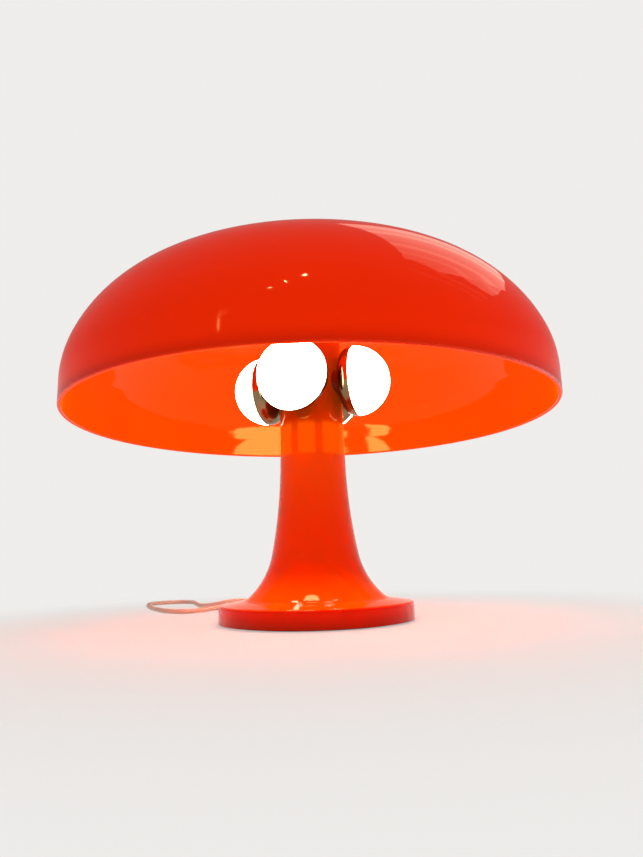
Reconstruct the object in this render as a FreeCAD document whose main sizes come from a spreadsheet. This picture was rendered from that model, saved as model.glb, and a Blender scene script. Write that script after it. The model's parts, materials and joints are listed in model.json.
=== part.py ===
"""Mushroom table lamp: one trumpet moulding stands on a weighted round base and carries a
domed shade, with four globe lamps plugged in round the column under the dome.

Millimetres, +Z up, front towards -Y, origin on the table under the middle of the base.
"""
import FreeCAD, Part
import math
import os
import types

import Sketcher
from FreeCAD import Placement, Rotation, Vector

SIZES = {
    # shade: a steep band, then three tangent arcs up to the crown
    "shade_radius": 160.0,
    "shade_band": 15.3,
    "shade_wall": 2.6,
    "shoulder_radius": 62.5,
    "shoulder_turn": 22.5,
    "haunch_radius": 89.4,
    "haunch_turn": 64.5,
    "socket_depth": 22.74,
    "socket_wall": 2.8,
    "rib_thickness": 1.8,
    "rib_reach": 17.0,
    "rib_depth": 13.0,
    # trumpet moulding: column, three flare arcs, sloping base top, upright skirt
    "column_top_height": 214.0,
    "column_foot_radius": 21.7,
    "column_draft": 0.67,
    "flare_long_radius": 330.0,
    "flare_long_turn": 11.3,
    "flare_mid_radius": 47.5,
    "flare_mid_turn": 49.1,
    "flare_short_radius": 8.0,
    "base_slope": 8.6,
    "base_radius": 62.0,
    "base_edge_height": 10.1,
    "base_edge_round": 1.6,
    "skirt_lift": 0.8,
    "moulding_wall": 2.4,
    "skirt_wall": 2.6,
    "ledge_width": 2.4,
    # cap that closes the column and carries the shade
    "cap_flange": 2.5,
    "cap_plug_depth": 5.0,
    "spigot_radius": 14.2,
    "spigot_height": 10.5,
    "spigot_taper": 0.6,
    "cap_wall": 2.4,
    # clamping tube, nuts and washers
    "tube_radius": 5.0,
    "tube_bore": 3.4,
    "tube_clearance": 0.15,
    "nut_width": 14.0,
    "nut_height": 2.0,
    "washer_radius": 10.5,
    "washer_height": 1.0,
    # bottom of the base
    "foot_height": 3.4,
    "foot_width": 12.0,
    "plate_height": 1.5,
    "ballast_radius": 51.0,
    "ballast_height": 4.2,
    "ballast_hub_radius": 31.0,
    "ballast_hub_height": 7.5,
    # globe lamps
    "lamp_height": 154.5,
    "lamp_azimuth": -20.7,
    "lamp_offset": 31.4,
    "globe_radius": 23.4,
    "globe_glass": 1.0,
    "mirror_lip": 2.2,
    "mirror_shoulder": 7.0,
    "mirror_turn": 68.0,
    "neck_radius": 9.4,
    "neck_clearance": 1.0,
    "lamp_base_length": 4.4,
    "board_radius": 9.5,
    "board_height": 1.2,
    "pin_radius": 1.1,
    "pin_length": 6.2,
    "pin_spacing": 9.0,
    "pin_clearance": 0.08,
    # lampholders on their square block
    "block_width": 14.4,
    "block_height": 25.0,
    "holder_depth": 8.2,
    "holder_width": 12.6,
    "holder_height": 18.0,
    "holder_corner": 2.4,
    "holder_screw_radius": 1.4,
    "holder_screw_length": 9.4,
    "terminal_width": 23.0,
    "terminal_height": 12.0,
    "terminal_corner": 3.0,
    "terminal_gap": 0.4,
    "lead_radius": 0.9,
    # mains cord, its gland and its inner clamp
    "cord_radius": 1.8,
    "cord_azimuth": 210.0,
    "gland_flange": 3.1,
    "gland_flange_height": 1.3,
    "gland_waist": 2.7,
    "boot_length": 20.0,
    "boot_root_radius": 2.9,
    "clamp_distance": 33.5,
    "clamp_width": 18.0,
    "clamp_depth": 6.5,
    "clamp_height": 1.6,
    "clamp_screw_radius": 1.5,
    "inner_bend": 11.5,
    "riser_distance": 11.5,
    # in-line switch
    "switch_x": -15.0,
    "switch_y": 105.0,
    "switch_length": 58.0,
    "switch_width": 24.0,
    "switch_half_height": 7.6,
    "switch_corner": 8.0,
    "switch_edge": 2.4,
    "switch_wall": 1.8,
    "switch_boot_length": 8.0,
    "switch_boot_radius": 3.2,
    "rocker_length": 15.0,
    "rocker_width": 8.6,
    "rocker_gap": 0.35,
    "rocker_tilt": 8.0,
    "rocker_belly": 2.0,
    "trunnion_radius": 1.2,
    "trunnion_length": 1.6,
    # flat two-pin plug
    "plug_x": -32.6,
    "plug_y": 202.25,
    "plug_turn": -105.0,
    "plug_face_width": 23.4,
    "plug_face_height": 12.2,
    "plug_face_corner": 4.1,
    "plug_brow": 5.4,
    "plug_width": 26.0,
    "plug_height": 13.6,
    "plug_corner": 4.8,
    "plug_waist": 16.5,
    "plug_waist_width": 20.3,
    "plug_waist_height": 12.8,
    "plug_length": 30.0,
    "plug_neck_width": 8.5,
    "plug_neck_height": 6.8,
    "plug_neck_corner": 2.7,
    "plug_pin_radius": 2.0,
    "plug_pin_length": 19.0,
    "plug_pin_spacing": 18.6,
    # put-away coil and its tie
    "coil_x": 20.0,
    "coil_y": 160.0,
    "coil_inner_radius": 10.0,
    "coil_pitch": 4.6,
    "coil_lift": 1.0,
    "tie_width": 7.0,
    "tie_thickness": 0.7,
    "tie_clearance": 0.3,
    # clearances between separate pieces
    "fit_clearance": 0.3,
    # how far a cut starts outside what it cuts
    "overcut": 1.0,
}

LAMPS = 4
RIBS = 6
HEXAGON = 6
TINY = 1e-9
COIL_TURNS = 5
CLIMB_TURNS = 0.5
OUTWARD_TURNS = 4.75

doc = FreeCAD.newDocument("table_lamp")
sheet = doc.addObject("Spreadsheet::Sheet", "Sizes")
for row, (alias, number) in enumerate(SIZES.items(), start=1):
    sheet.set(f"A{row}", alias)
    sheet.set(f"B{row}", str(number))
    sheet.setAlias(f"B{row}", alias)
doc.recompute()


class Size:
    """A number together with the sheet expression that gives it."""

    def __init__(self, number, text):
        self.number = float(number)
        self.text = text

    def __add__(self, other):
        other = as_size(other)
        return Size(self.number + other.number, f"({self.text} + {other.text})")

    def __sub__(self, other):
        other = as_size(other)
        return Size(self.number - other.number, f"({self.text} - {other.text})")

    def __mul__(self, other):
        other = as_size(other)
        return Size(self.number * other.number, f"({self.text} * {other.text})")

    def __truediv__(self, other):
        other = as_size(other)
        return Size(self.number / other.number, f"({self.text} / {other.text})")

    def __radd__(self, other):
        return as_size(other) + self

    def __rsub__(self, other):
        return as_size(other) - self

    def __rmul__(self, other):
        return as_size(other) * self

    def __neg__(self):
        return as_size(0) - self


def as_size(value):
    """A Size as it is, or a plain number as one."""
    return value if isinstance(value, Size) else Size(value, repr(float(value)))


def sine(angle):
    """Sine of an angle in degrees."""
    return Size(math.sin(math.radians(angle.number)), f"sin({angle.text} * 1deg)")


def cosine(angle):
    """Cosine of an angle in degrees."""
    return Size(math.cos(math.radians(angle.number)), f"cos({angle.text} * 1deg)")


def root(value):
    """Square root of a Size."""
    return Size(math.sqrt(value.number), f"sqrt({value.text})")


s = types.SimpleNamespace(
    **{alias: Size(getattr(sheet, alias), f"Sizes.{alias}") for alias in SIZES}
)
ZERO = as_size(0)
PARTS = []


# ---------------------------------------------------------------- building blocks


def bind(thing, name, size):
    """Drive one property of a feature from the sheet."""
    thing.setExpression(name, as_size(size).text)


def keep(thing, label):
    """Name a finished sub-part and list it for export."""
    thing.Label = label
    PARTS.append(thing)
    return thing


def place(thing, x=ZERO, y=ZERO, z=ZERO, turn=0.0):
    """Turn a sub-part about Z by turn degrees, then move it to x, y, z."""
    spot = [as_size(value) for value in (x, y, z)]
    thing.Placement = Placement(Vector(*[value.number for value in spot]), turned_by(turn))
    for axis, value in zip("xyz", spot):
        thing.setExpression(f".Placement.Base.{axis}", value.text)
    return thing


def turned_by(angle):
    """Rotation about Z by an angle in degrees."""
    return Rotation(Vector(0, 0, 1), angle)


def heading(azimuth):
    """Turn that points a piece's own +X along an azimuth counted from the front, -Y."""
    return azimuth - 90.0


def new_body(label):
    """An empty body, listed for export under its label."""
    return keep(doc.addObject("PartDesign::Body", label), label)


def origin_feature(body, role):
    """One of the body's own origin planes or axes."""
    return next(f for f in body.Origin.OriginFeatures if f.Role == role)


def new_sketch(body, plane, offset=ZERO):
    """A sketch on one of the body's origin planes, moved along its normal by offset."""
    sketch = body.newObject("Sketcher::SketchObject", f"{body.Name}_sketch")
    sketch.AttachmentSupport = (origin_feature(body, plane), [""])
    sketch.MapMode = "FlatFace"
    if offset is not ZERO:
        sketch.AttachmentOffset = Placement(Vector(0, 0, offset.number), Rotation())
        sketch.setExpression(".AttachmentOffset.Base.z", offset.text)
    return sketch


def fix_point(sketch, index, end, x, y):
    """Hold one end of a line or arc, or a circle's centre, at x, y."""
    axes = (("DistanceX", x, -2), ("DistanceY", y, -1))
    for kind, size, axis in axes:
        if abs(size.number) < TINY:
            sketch.addConstraint(Sketcher.Constraint("PointOnObject", index, end, axis))
            continue
        number = sketch.addConstraint(
            Sketcher.Constraint(kind, -1, 1, index, end, size.number)
        )
        sketch.setExpression(f"Constraints[{number}]", size.text)


def arc_between(start, stop, radius):
    """The arc under a half turn from start to stop, left-hand for a positive radius."""
    chord = stop - start
    half = chord.Length / 2
    reach = math.sqrt(max(radius * radius - half * half, 0.0))
    side = Vector(-chord.y, chord.x, 0).normalize() * math.copysign(reach, radius)
    centre = (start + stop) * 0.5 + side
    first, last = (start, stop) if radius > 0 else (stop, start)
    angles = [math.atan2(p.y - centre.y, p.x - centre.x) for p in (first, last)]
    circle = Part.Circle(centre, Vector(0, 0, 1), abs(radius))
    return Part.ArcOfCircle(circle, angles[0], angles[1])


def draw_outline(sketch, corners):
    """Closed outline through corners, each (x, y) or (x, y, radius of the arc after it)."""
    spots = [(as_size(c[0]), as_size(c[1])) for c in corners]
    bends = [as_size(c[2]) if len(c) > 2 else None for c in corners]
    points = [Vector(x.number, y.number, 0) for x, y in spots]
    ends = []
    for i, bend in enumerate(bends):
        start, stop = points[i], points[(i + 1) % len(points)]
        if bend is None:
            index = sketch.addGeometry(Part.LineSegment(start, stop))
            ends.append((index, 1, 2))
            continue
        index = sketch.addGeometry(arc_between(start, stop, bend.number))
        ends.append((index, 1, 2) if bend.number > 0 else (index, 2, 1))
    for i, (index, _, last) in enumerate(ends):
        following, first, _ = ends[(i + 1) % len(ends)]
        sketch.addConstraint(
            Sketcher.Constraint("Coincident", index, last, following, first)
        )
    for (index, first, _), (x, y) in zip(ends, spots):
        fix_point(sketch, index, first, x, y)
    for (index, _, _), bend in zip(ends, bends):
        if bend is not None:
            radius = Size(abs(bend.number), f"abs({bend.text})")
            number = sketch.addConstraint(
                Sketcher.Constraint("Radius", index, radius.number)
            )
            sketch.setExpression(f"Constraints[{number}]", radius.text)


def draw_circle(sketch, x, y, radius):
    """Circle of a given centre and radius."""
    centre = Vector(as_size(x).number, as_size(y).number, 0)
    circle = Part.Circle(centre, Vector(0, 0, 1), radius.number)
    index = sketch.addGeometry(circle)
    fix_point(sketch, index, 3, as_size(x), as_size(y))
    number = sketch.addConstraint(Sketcher.Constraint("Radius", index, radius.number))
    sketch.setExpression(f"Constraints[{number}]", radius.text)


def revolve(body, corners, axis="V_Axis", plane="XZ_Plane"):
    """Full turn of an outline: about Z from the XZ plane, or about X from the XY plane."""
    sketch = new_sketch(body, plane)
    draw_outline(sketch, corners)
    feature = body.newObject("PartDesign::Revolution", f"{body.Name}_turned")
    feature.Profile = sketch
    feature.ReferenceAxis = (sketch, [axis])
    feature.Angle = 360
    return feature


def turned(label, corners):
    """Body turned about Z from (radius, height) corners."""
    body = new_body(label)
    revolve(body, corners)
    return body


def turned_sideways(label, corners):
    """Body turned about X from (distance along X, radius) corners."""
    body = new_body(label)
    revolve(body, corners, axis="H_Axis", plane="XY_Plane")
    return body


def pad(body, sketch, length, reverse=False):
    """Pad a sketch, bound to the sheet."""
    feature = body.newObject("PartDesign::Pad", f"{body.Name}_pad")
    feature.Profile = sketch
    bind(feature, "Length", length)
    feature.Reversed = reverse
    return feature


def drill(body, radius, length, base, direction):
    """Cut a round hole of a body: it starts at base and runs along direction."""
    feature = body.newObject("PartDesign::SubtractiveCylinder", f"{body.Name}_hole")
    bind(feature, "Radius", radius)
    bind(feature, "Height", length)
    feature.Placement = Placement(base, Rotation(Vector(0, 0, 1), direction))
    return feature


def mill(body, length, width, height, base, turn=0.0):
    """Cut a box out of a body: base is its low corner, before the turn about Z."""
    feature = body.newObject("PartDesign::SubtractiveBox", f"{body.Name}_cut")
    bind(feature, "Length", length)
    bind(feature, "Width", width)
    bind(feature, "Height", height)
    rotation = turned_by(turn)
    feature.Placement = Placement(rotation.multVec(base), rotation)
    return feature


def around(body, feature, count):
    """Repeat a feature round the body's Z axis."""
    pattern = body.newObject("PartDesign::PolarPattern", f"{feature.Name}_ring")
    pattern.Originals = [feature]
    pattern.Axis = (origin_feature(body, "Z_Axis"), [""])
    pattern.Angle = 360
    pattern.Occurrences = count
    body.Tip = pattern
    return pattern


def box_corners(low_x, low_y, high_x, high_y):
    """The four corners of an upright rectangle."""
    return [(low_x, low_y), (high_x, low_y), (high_x, high_y), (low_x, high_y)]


def rounded_corners(half_x, half_y, radius):
    """A rectangle about the origin with rounded corners, anticlockwise."""
    near_x = half_x - radius
    near_y = half_y - radius
    return [
        (-near_x, -half_y),
        (near_x, -half_y, radius),
        (half_x, -near_y),
        (half_x, near_y, radius),
        (near_x, half_y),
        (-near_x, half_y, radius),
        (-half_x, near_y),
        (-half_x, -near_y, radius),
    ]


def ring(label, inner, outer, bottom, height):
    """Flat ring about Z."""
    return turned(label, box_corners(inner, bottom, outer, bottom + height))


def hexagon_nut(name, bottom):
    """Hexagon nut on the clamping tube, as a cut prism."""
    prism = doc.addObject("Part::Prism", f"{name}_prism")
    prism.Polygon = HEXAGON
    bind(prism, "Circumradius", s.nut_width / cosine(as_size(180 / HEXAGON)) / 2)
    bind(prism, "Height", s.nut_height)
    bore = doc.addObject("Part::Cylinder", f"{name}_bore")
    bind(bore, "Radius", s.tube_radius + s.tube_clearance / 3)
    bind(bore, "Height", s.nut_height)
    cut = doc.addObject("Part::Cut", name)
    cut.Base = prism
    cut.Tool = bore
    return place(cut, z=bottom)


def group(label, things):
    """One sub-part made of several separate solids."""
    compound = doc.addObject("Part::Compound", label)
    compound.Links = things
    return keep(compound, label)


# ---------------------------------------------------------------- cord routes


def midpoint_of_arc(start, tangent, stop):
    """Middle of the arc that leaves start along tangent and ends at stop."""
    chord = stop - start
    along = Vector(chord).normalize()
    bulge = tangent - along * tangent.dot(along)
    if bulge.Length < TINY:
        return None
    half_angle = math.atan2(bulge.Length, tangent.dot(along)) / 2
    return (start + stop) * 0.5 + bulge.normalize() * (chord.Length / 2 * math.tan(half_angle))


def arc_edge(start, tangent, stop):
    """Arc, or a straight edge, that leaves start along tangent and ends at stop."""
    middle = midpoint_of_arc(start, tangent, stop)
    if middle is None:
        return Part.LineSegment(start, stop).toShape()
    return Part.Arc(start, middle, stop).toShape()


def biarc(start, start_tangent, stop, stop_tangent):
    """Two tangent arcs that join two points with given unit tangents."""
    chord = stop - start
    both = start_tangent + stop_tangent
    spread = 2 * (1 - start_tangent.dot(stop_tangent))
    reach = chord.dot(both)
    if spread < TINY:
        step = chord.dot(chord) / (2 * reach)
    else:
        step = (-reach + math.sqrt(reach * reach + spread * chord.dot(chord))) / spread
    joint = (start + stop + (start_tangent - stop_tangent) * step) * 0.5
    backwards = arc_edge(stop, stop_tangent * -1, joint)
    return [arc_edge(start, start_tangent, joint), backwards]


def bent_route(points):
    """Straight runs joined by tangent arcs, each as large as its two runs allow."""
    points = [Vector(*p) for p in points]
    edges = []
    radii = []
    last = points[0]
    for before, corner, after in zip(points, points[1:], points[2:]):
        into = (corner - before).normalize()
        out = (after - corner).normalize()
        turn = into.getAngle(out)
        shorter = min((corner - before).Length, (after - corner).Length)
        trim = 0.45 * shorter
        radii.append(trim / math.tan(turn / 2))
        start = corner - into * trim
        stop = corner + out * trim
        edges.append(Part.LineSegment(last, start).toShape())
        edges.append(arc_edge(start, into, stop))
        last = stop
    edges.append(Part.LineSegment(last, points[-1]).toShape())
    return Part.Wire(edges), radii


def tube_along(wire, radius):
    """Round tube of one radius swept along a wire."""
    first = wire.Edges[0]
    start = first.valueAt(first.FirstParameter)
    tangent = first.tangentAt(first.FirstParameter)
    section = Part.Wire(Part.makeCircle(radius, start, tangent))
    return wire.makePipeShell([section], True, False)


def cord_piece(label, wire, radius):
    """Sub-part that is a tube along a wire, with its length and volume compared."""
    feature = doc.addObject("Part::Feature", label)
    feature.Shape = tube_along(wire, radius)
    feature.Placement = Placement()
    expected = math.pi * radius**2 * wire.Length
    print(f"{label}: {wire.Length:.1f} mm, volume ratio {feature.Shape.Volume / expected:.4f}")
    return keep(feature, label)


# ---------------------------------------------------------------- shade


def dome_top(start_radius, start_height, offset):
    """Corners of the dome's three arcs, from its band up to the crown, offset inwards."""
    shoulder = s.shoulder_radius - offset
    haunch = s.haunch_radius - offset
    first = s.shoulder_turn
    second = s.haunch_turn
    radius_1 = start_radius - shoulder * (1 - cosine(first))
    height_1 = start_height + shoulder * sine(first)
    radius_2 = radius_1 - haunch * (cosine(first) - cosine(second))
    height_2 = height_1 + haunch * (sine(second) - sine(first))
    crown = radius_2 / cosine(second)
    top = height_2 + crown * (1 - sine(second))
    return [
        (start_radius, start_height, shoulder),
        (radius_1, height_1, haunch),
        (radius_2, height_2, crown),
        (ZERO, top),
    ]


def reversed_arcs(corners):
    """The same line of corners walked backwards, with its arcs turning the other way."""
    back = []
    for i in range(len(corners) - 1, -1, -1):
        x, y = corners[i][0], corners[i][1]
        back.append((x, y, -corners[i - 1][2]) if i and len(corners[i - 1]) > 2 else (x, y))
    return back


INNER_RADIUS = s.shade_radius - s.shade_wall
INNER_RISE = dome_top(INNER_RADIUS, s.shade_band, s.shade_wall)[-1][1]
SEAT_HEIGHT = s.column_top_height + s.cap_flange
RIM_HEIGHT = SEAT_HEIGHT + s.socket_depth - INNER_RISE
BAND_TOP = RIM_HEIGHT + s.shade_band
OUTER_DOME = dome_top(s.shade_radius, BAND_TOP, ZERO)
INNER_DOME = dome_top(INNER_RADIUS, BAND_TOP, s.shade_wall)
CROWN_HEIGHT = OUTER_DOME[-1][1]
CEILING_HEIGHT = INNER_DOME[-1][1]


def make_shade():
    """Dome with a rounded rim, and inside its crown a ribbed socket over the cap's spigot."""
    body = new_body("shade")
    edge = s.shade_wall / 2
    rim = RIM_HEIGHT
    corners = [
        (s.shade_radius - edge, rim, edge),
        (s.shade_radius, rim + edge),
        *OUTER_DOME,
        *reversed_arcs(INNER_DOME),
        (INNER_RADIUS, rim + edge, edge),
    ]
    revolve(body, corners)
    inner = s.spigot_radius + s.fit_clearance
    outer = inner + s.socket_wall
    bottom = SEAT_HEIGHT + s.fit_clearance / 2
    revolve(body, box_corners(inner, bottom, outer, CEILING_HEIGHT + s.shade_wall / 4))
    sketch = new_sketch(body, "XZ_Plane")
    ceiling = CEILING_HEIGHT + s.shade_wall / 4
    tip = outer + s.rib_reach
    draw_outline(
        sketch,
        [
            (outer - s.socket_wall / 2, ceiling),
            (outer - s.socket_wall / 2, ceiling - s.rib_depth),
            (outer, ceiling - s.rib_depth),
            (tip, ceiling - s.shade_wall / 2),
            (tip - s.shade_wall, ceiling - s.shade_wall / 2 + s.shade_wall / 8),
        ],
    )
    rib = pad(body, sketch, s.rib_thickness)
    rib.Midplane = True
    around(body, rib, RIBS)
    return body


# ---------------------------------------------------------------- trumpet moulding


def slope(angle):
    """Tangent of an angle in degrees."""
    return sine(angle) / cosine(angle)


def flare_arcs(offset):
    """The flare's three arcs, top down: each one's radius, its width and its fall."""
    turns = [s.column_draft, s.flare_long_turn, s.flare_mid_turn, 90 - s.base_slope]
    bends = [s.flare_long_radius, s.flare_mid_radius, s.flare_short_radius]
    arcs = []
    for bend, before, after in zip(bends, turns, turns[1:]):
        wide = bend + offset
        across = wide * (cosine(before) - cosine(after))
        arcs.append((wide, across, wide * (sine(after) - sine(before))))
    return arcs


EDGE_TOUCH = s.base_radius - s.base_edge_round * (1 - sine(s.base_slope))
TOUCH_HEIGHT = s.base_edge_height + s.base_edge_round * cosine(s.base_slope)
SLOPE_START = s.column_foot_radius + sum(across for _, across, _ in flare_arcs(ZERO))
SLOPE_TOP = TOUCH_HEIGHT + (EDGE_TOUCH - SLOPE_START) * slope(s.base_slope)
COLUMN_FOOT = SLOPE_TOP + sum(fall for _, _, fall in flare_arcs(ZERO))
COLUMN_TOP_RADIUS = (
    s.column_foot_radius - (s.column_top_height - COLUMN_FOOT) * slope(s.column_draft)
)


def flare_line(offset):
    """Corners down the trumpet, from the column's top to where the base top slopes off."""
    radius = s.column_foot_radius - offset
    height = COLUMN_FOOT
    corners = [(COLUMN_TOP_RADIUS - offset, s.column_top_height)]
    for wide, across, fall in flare_arcs(offset):
        corners.append((radius, height, wide))
        radius = radius + across
        height = height - fall
    corners.append((radius, height))
    return corners


PLATE_BOTTOM = s.foot_height
PLATE_TOP = s.foot_height + s.plate_height
GLAND_HEIGHT = PLATE_TOP + s.cord_radius + s.fit_clearance
SKIRT_INNER = s.base_radius - s.skirt_wall
LEDGE_INNER = SKIRT_INNER - s.ledge_width
PLATE_RADIUS = SKIRT_INNER - s.fit_clearance
GLAND_TURN = heading(SIZES["cord_azimuth"])
LAMP_TURNS = [heading(SIZES["lamp_azimuth"] + 360.0 / LAMPS * i) for i in range(LAMPS)]


def slope_height(corner, radius):
    """Height of the sloping base top at a radius, from the corner where it starts."""
    return corner[1] - (radius - corner[0]) * slope(s.base_slope)


def make_moulding():
    """Column, flare and base in one shell, with lamp windows and the gland's slot."""
    body = new_body("trumpet_moulding")
    outside = flare_line(ZERO)
    inside = flare_line(s.moulding_wall)
    corners = [
        *outside,
        (EDGE_TOUCH, TOUCH_HEIGHT, -s.base_edge_round),
        (s.base_radius, s.base_edge_height),
        (s.base_radius, s.skirt_lift),
        (SKIRT_INNER, s.skirt_lift),
        (SKIRT_INNER, PLATE_TOP),
        (LEDGE_INNER, PLATE_TOP),
        (LEDGE_INNER, slope_height(inside[-1], LEDGE_INNER)),
        *reversed_arcs(inside),
    ]
    revolve(body, corners)
    window = drill(
        body,
        s.neck_radius + s.neck_clearance,
        s.column_foot_radius + s.moulding_wall,
        Vector(0, 0, s.lamp_height.number),
        turned_by(LAMP_TURNS[0]).multVec(Vector(1, 0, 0)),
    )
    around(body, window, LAMPS)
    slot_half = (s.gland_waist + s.fit_clearance / 3).number
    mill(
        body,
        s.skirt_wall + s.ledge_width * 2,
        2 * s.gland_waist + s.fit_clearance * 2 / 3,
        GLAND_HEIGHT + s.gland_waist + s.fit_clearance / 3 - s.skirt_lift,
        Vector((LEDGE_INNER - s.overcut).number, -slot_half, SIZES["skirt_lift"]),
        GLAND_TURN,
    )
    flange_half = (s.gland_flange + s.fit_clearance).number
    mill(
        body,
        s.ledge_width + s.overcut,
        2 * (s.gland_flange + s.fit_clearance),
        GLAND_HEIGHT + s.gland_flange + s.fit_clearance - s.skirt_lift,
        Vector((LEDGE_INNER - s.overcut).number, -flange_half, SIZES["skirt_lift"]),
        GLAND_TURN,
    )
    return body


def make_cap():
    """Hollow cap in the column's top, with the tapered spigot that carries the shade."""
    plug = COLUMN_TOP_RADIUS - s.moulding_wall - s.fit_clearance / 2
    top = SEAT_HEIGHT + s.spigot_height
    bottom = s.column_top_height - s.cap_plug_depth
    hollow = s.spigot_radius - s.cap_wall
    corners = [
        (hollow, bottom),
        (plug, bottom),
        (plug, s.column_top_height),
        (COLUMN_TOP_RADIUS, s.column_top_height),
        (COLUMN_TOP_RADIUS, SEAT_HEIGHT),
        (s.spigot_radius, SEAT_HEIGHT),
        (s.spigot_radius - s.spigot_taper, top),
        (s.tube_radius + s.tube_clearance, top),
        (s.tube_radius + s.tube_clearance, top - s.cap_wall),
        (hollow, top - s.cap_wall),
    ]
    return turned("column_cap", corners)


# ---------------------------------------------------------------- clamping tube and base


def make_clamping():
    """Hollow threaded tube with its nuts and washers, from the base plate to the cap."""
    cap_top = SEAT_HEIGHT + s.spigot_height
    washer_hole = s.tube_radius + s.tube_clearance
    top_washer = cap_top
    top_nut = cap_top + s.washer_height
    bottom_washer = PLATE_BOTTOM - s.washer_height
    bottom_nut = bottom_washer - s.nut_height
    ring(
        "clamping_tube",
        s.tube_bore,
        s.tube_radius,
        bottom_nut,
        top_nut + s.nut_height - bottom_nut + s.washer_height,
    )
    ring("top_washer", washer_hole, s.washer_radius, top_washer, s.washer_height)
    ring("bottom_washer", washer_hole, s.washer_radius, bottom_washer, s.washer_height)
    keep(hexagon_nut("top_nut", top_nut), "top_nut")
    keep(hexagon_nut("bottom_nut", bottom_nut), "bottom_nut")
    low = s.lamp_height - s.block_height / 2
    lower = hexagon_nut("lower_block_nut", low - s.nut_height)
    upper = hexagon_nut("upper_block_nut", low + s.block_height)
    group("block_nuts", [lower, upper])


def make_base_pieces():
    """Rubber foot ring, steel plate and stepped iron ballast, with the cord's channel."""
    ring(
        "foot_ring",
        LEDGE_INNER - s.foot_width,
        LEDGE_INNER,
        ZERO,
        s.foot_height,
    )
    hole = s.tube_radius + s.tube_clearance
    channel_half = (s.cord_radius + s.fit_clearance).number
    plate = ring("base_plate", hole, PLATE_RADIUS, PLATE_BOTTOM, s.plate_height)
    flange_half = (s.gland_flange + s.fit_clearance).number
    mill(
        plate,
        s.ledge_width + s.skirt_wall + s.gland_flange_height,
        2 * (s.gland_flange + s.fit_clearance),
        s.plate_height,
        Vector((LEDGE_INNER - s.overcut).number, -flange_half, PLATE_BOTTOM.number),
        GLAND_TURN,
    )
    step = PLATE_TOP + s.ballast_height
    ballast = turned(
        "ballast",
        [
            (hole, PLATE_TOP),
            (s.ballast_radius, PLATE_TOP),
            (s.ballast_radius, step),
            (s.ballast_hub_radius, step),
            (s.ballast_hub_radius - s.washer_height, step + s.ballast_hub_height),
            (hole, step + s.ballast_hub_height),
        ],
    )
    mill(
        ballast,
        s.ballast_radius,
        2 * (s.cord_radius + s.fit_clearance),
        s.ballast_height + s.ballast_hub_height,
        Vector((s.tube_radius + s.overcut).number, -channel_half, PLATE_TOP.number),
        GLAND_TURN,
    )


def make_cord_anchor():
    """Gland with a tapered boot in the skirt, and a clamp bar across the cord's channel."""
    start = SKIRT_INNER - s.gland_flange_height
    face = s.base_radius
    boot = face + s.gland_flange_height
    gland = turned_sideways(
        "cord_gland",
        [
            (start, ZERO),
            (boot + s.boot_length, ZERO),
            (boot + s.boot_length, s.cord_radius + s.fit_clearance),
            (boot, s.boot_root_radius),
            (boot, s.gland_flange),
            (face, s.gland_flange),
            (face, s.gland_waist),
            (SKIRT_INNER, s.gland_waist),
            (SKIRT_INNER, s.gland_flange),
            (start, s.gland_flange),
        ],
    )
    place(gland, z=GLAND_HEIGHT, turn=GLAND_TURN)
    ballast_top = PLATE_TOP + s.ballast_height
    cord_top = GLAND_HEIGHT + s.cord_radius
    clamp = new_body("cord_clamp")
    sketch = new_sketch(clamp, "YZ_Plane")
    tongue = s.cord_radius
    bar = s.clamp_width / 2
    draw_outline(
        sketch,
        [
            (-bar, ballast_top),
            (-tongue, ballast_top),
            (-tongue, cord_top),
            (tongue, cord_top),
            (tongue, ballast_top),
            (bar, ballast_top),
            (bar, ballast_top + s.clamp_height),
            (-bar, ballast_top + s.clamp_height),
        ],
    )
    pad(clamp, sketch, s.clamp_depth)
    spot = turned_by(GLAND_TURN).multVec(Vector(SIZES["clamp_distance"], 0, 0))
    clamp.Placement = Placement(spot, turned_by(GLAND_TURN))
    screws = []
    for side in (-1, 1):
        screw = doc.addObject("Part::Cylinder", "clamp_screw")
        bind(screw, "Radius", s.clamp_screw_radius)
        bind(screw, "Height", s.clamp_height / 2)
        across = side * (SIZES["clamp_width"] / 2 - 2 * SIZES["clamp_screw_radius"])
        middle = SIZES["clamp_distance"] + SIZES["clamp_depth"] / 2
        base = turned_by(GLAND_TURN).multVec(Vector(middle, across, 0))
        base.z = (ballast_top + s.clamp_height).number
        screw.Placement = Placement(base, Rotation())
        screws.append(screw)
    group("clamp_screws", screws)


# ---------------------------------------------------------------- lampholders


def make_holder_block():
    """Square block on the clamping tube, and the terminal block under it."""
    half = s.block_width / 2
    block = new_body("holder_block")
    low = s.lamp_height - s.block_height / 2
    sketch = new_sketch(block, "XY_Plane", low)
    draw_outline(sketch, box_corners(-half, -half, half, half))
    draw_circle(sketch, ZERO, ZERO, s.tube_radius + s.tube_clearance)
    pad(block, sketch, s.block_height)
    tapped = drill(
        block,
        s.holder_screw_radius + s.fit_clearance / 6,
        s.block_width,
        Vector(0, 0, s.lamp_height.number),
        Vector(1, 0, 0),
    )
    around(block, tapped, LAMPS)
    block.Placement = Placement(Vector(), turned_by(LAMP_TURNS[0]))
    terminal = new_body("terminal_block")
    top = low - s.nut_height - s.terminal_gap
    sketch = new_sketch(terminal, "XY_Plane", top - s.terminal_height)
    half = s.terminal_width / 2
    draw_outline(sketch, rounded_corners(half, half, s.terminal_corner))
    draw_circle(sketch, ZERO, ZERO, s.tube_radius + s.tube_clearance)
    pad(terminal, sketch, s.terminal_height)
    terminal.Placement = Placement(Vector(), turned_by(LAMP_TURNS[0]))
    return top


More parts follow.
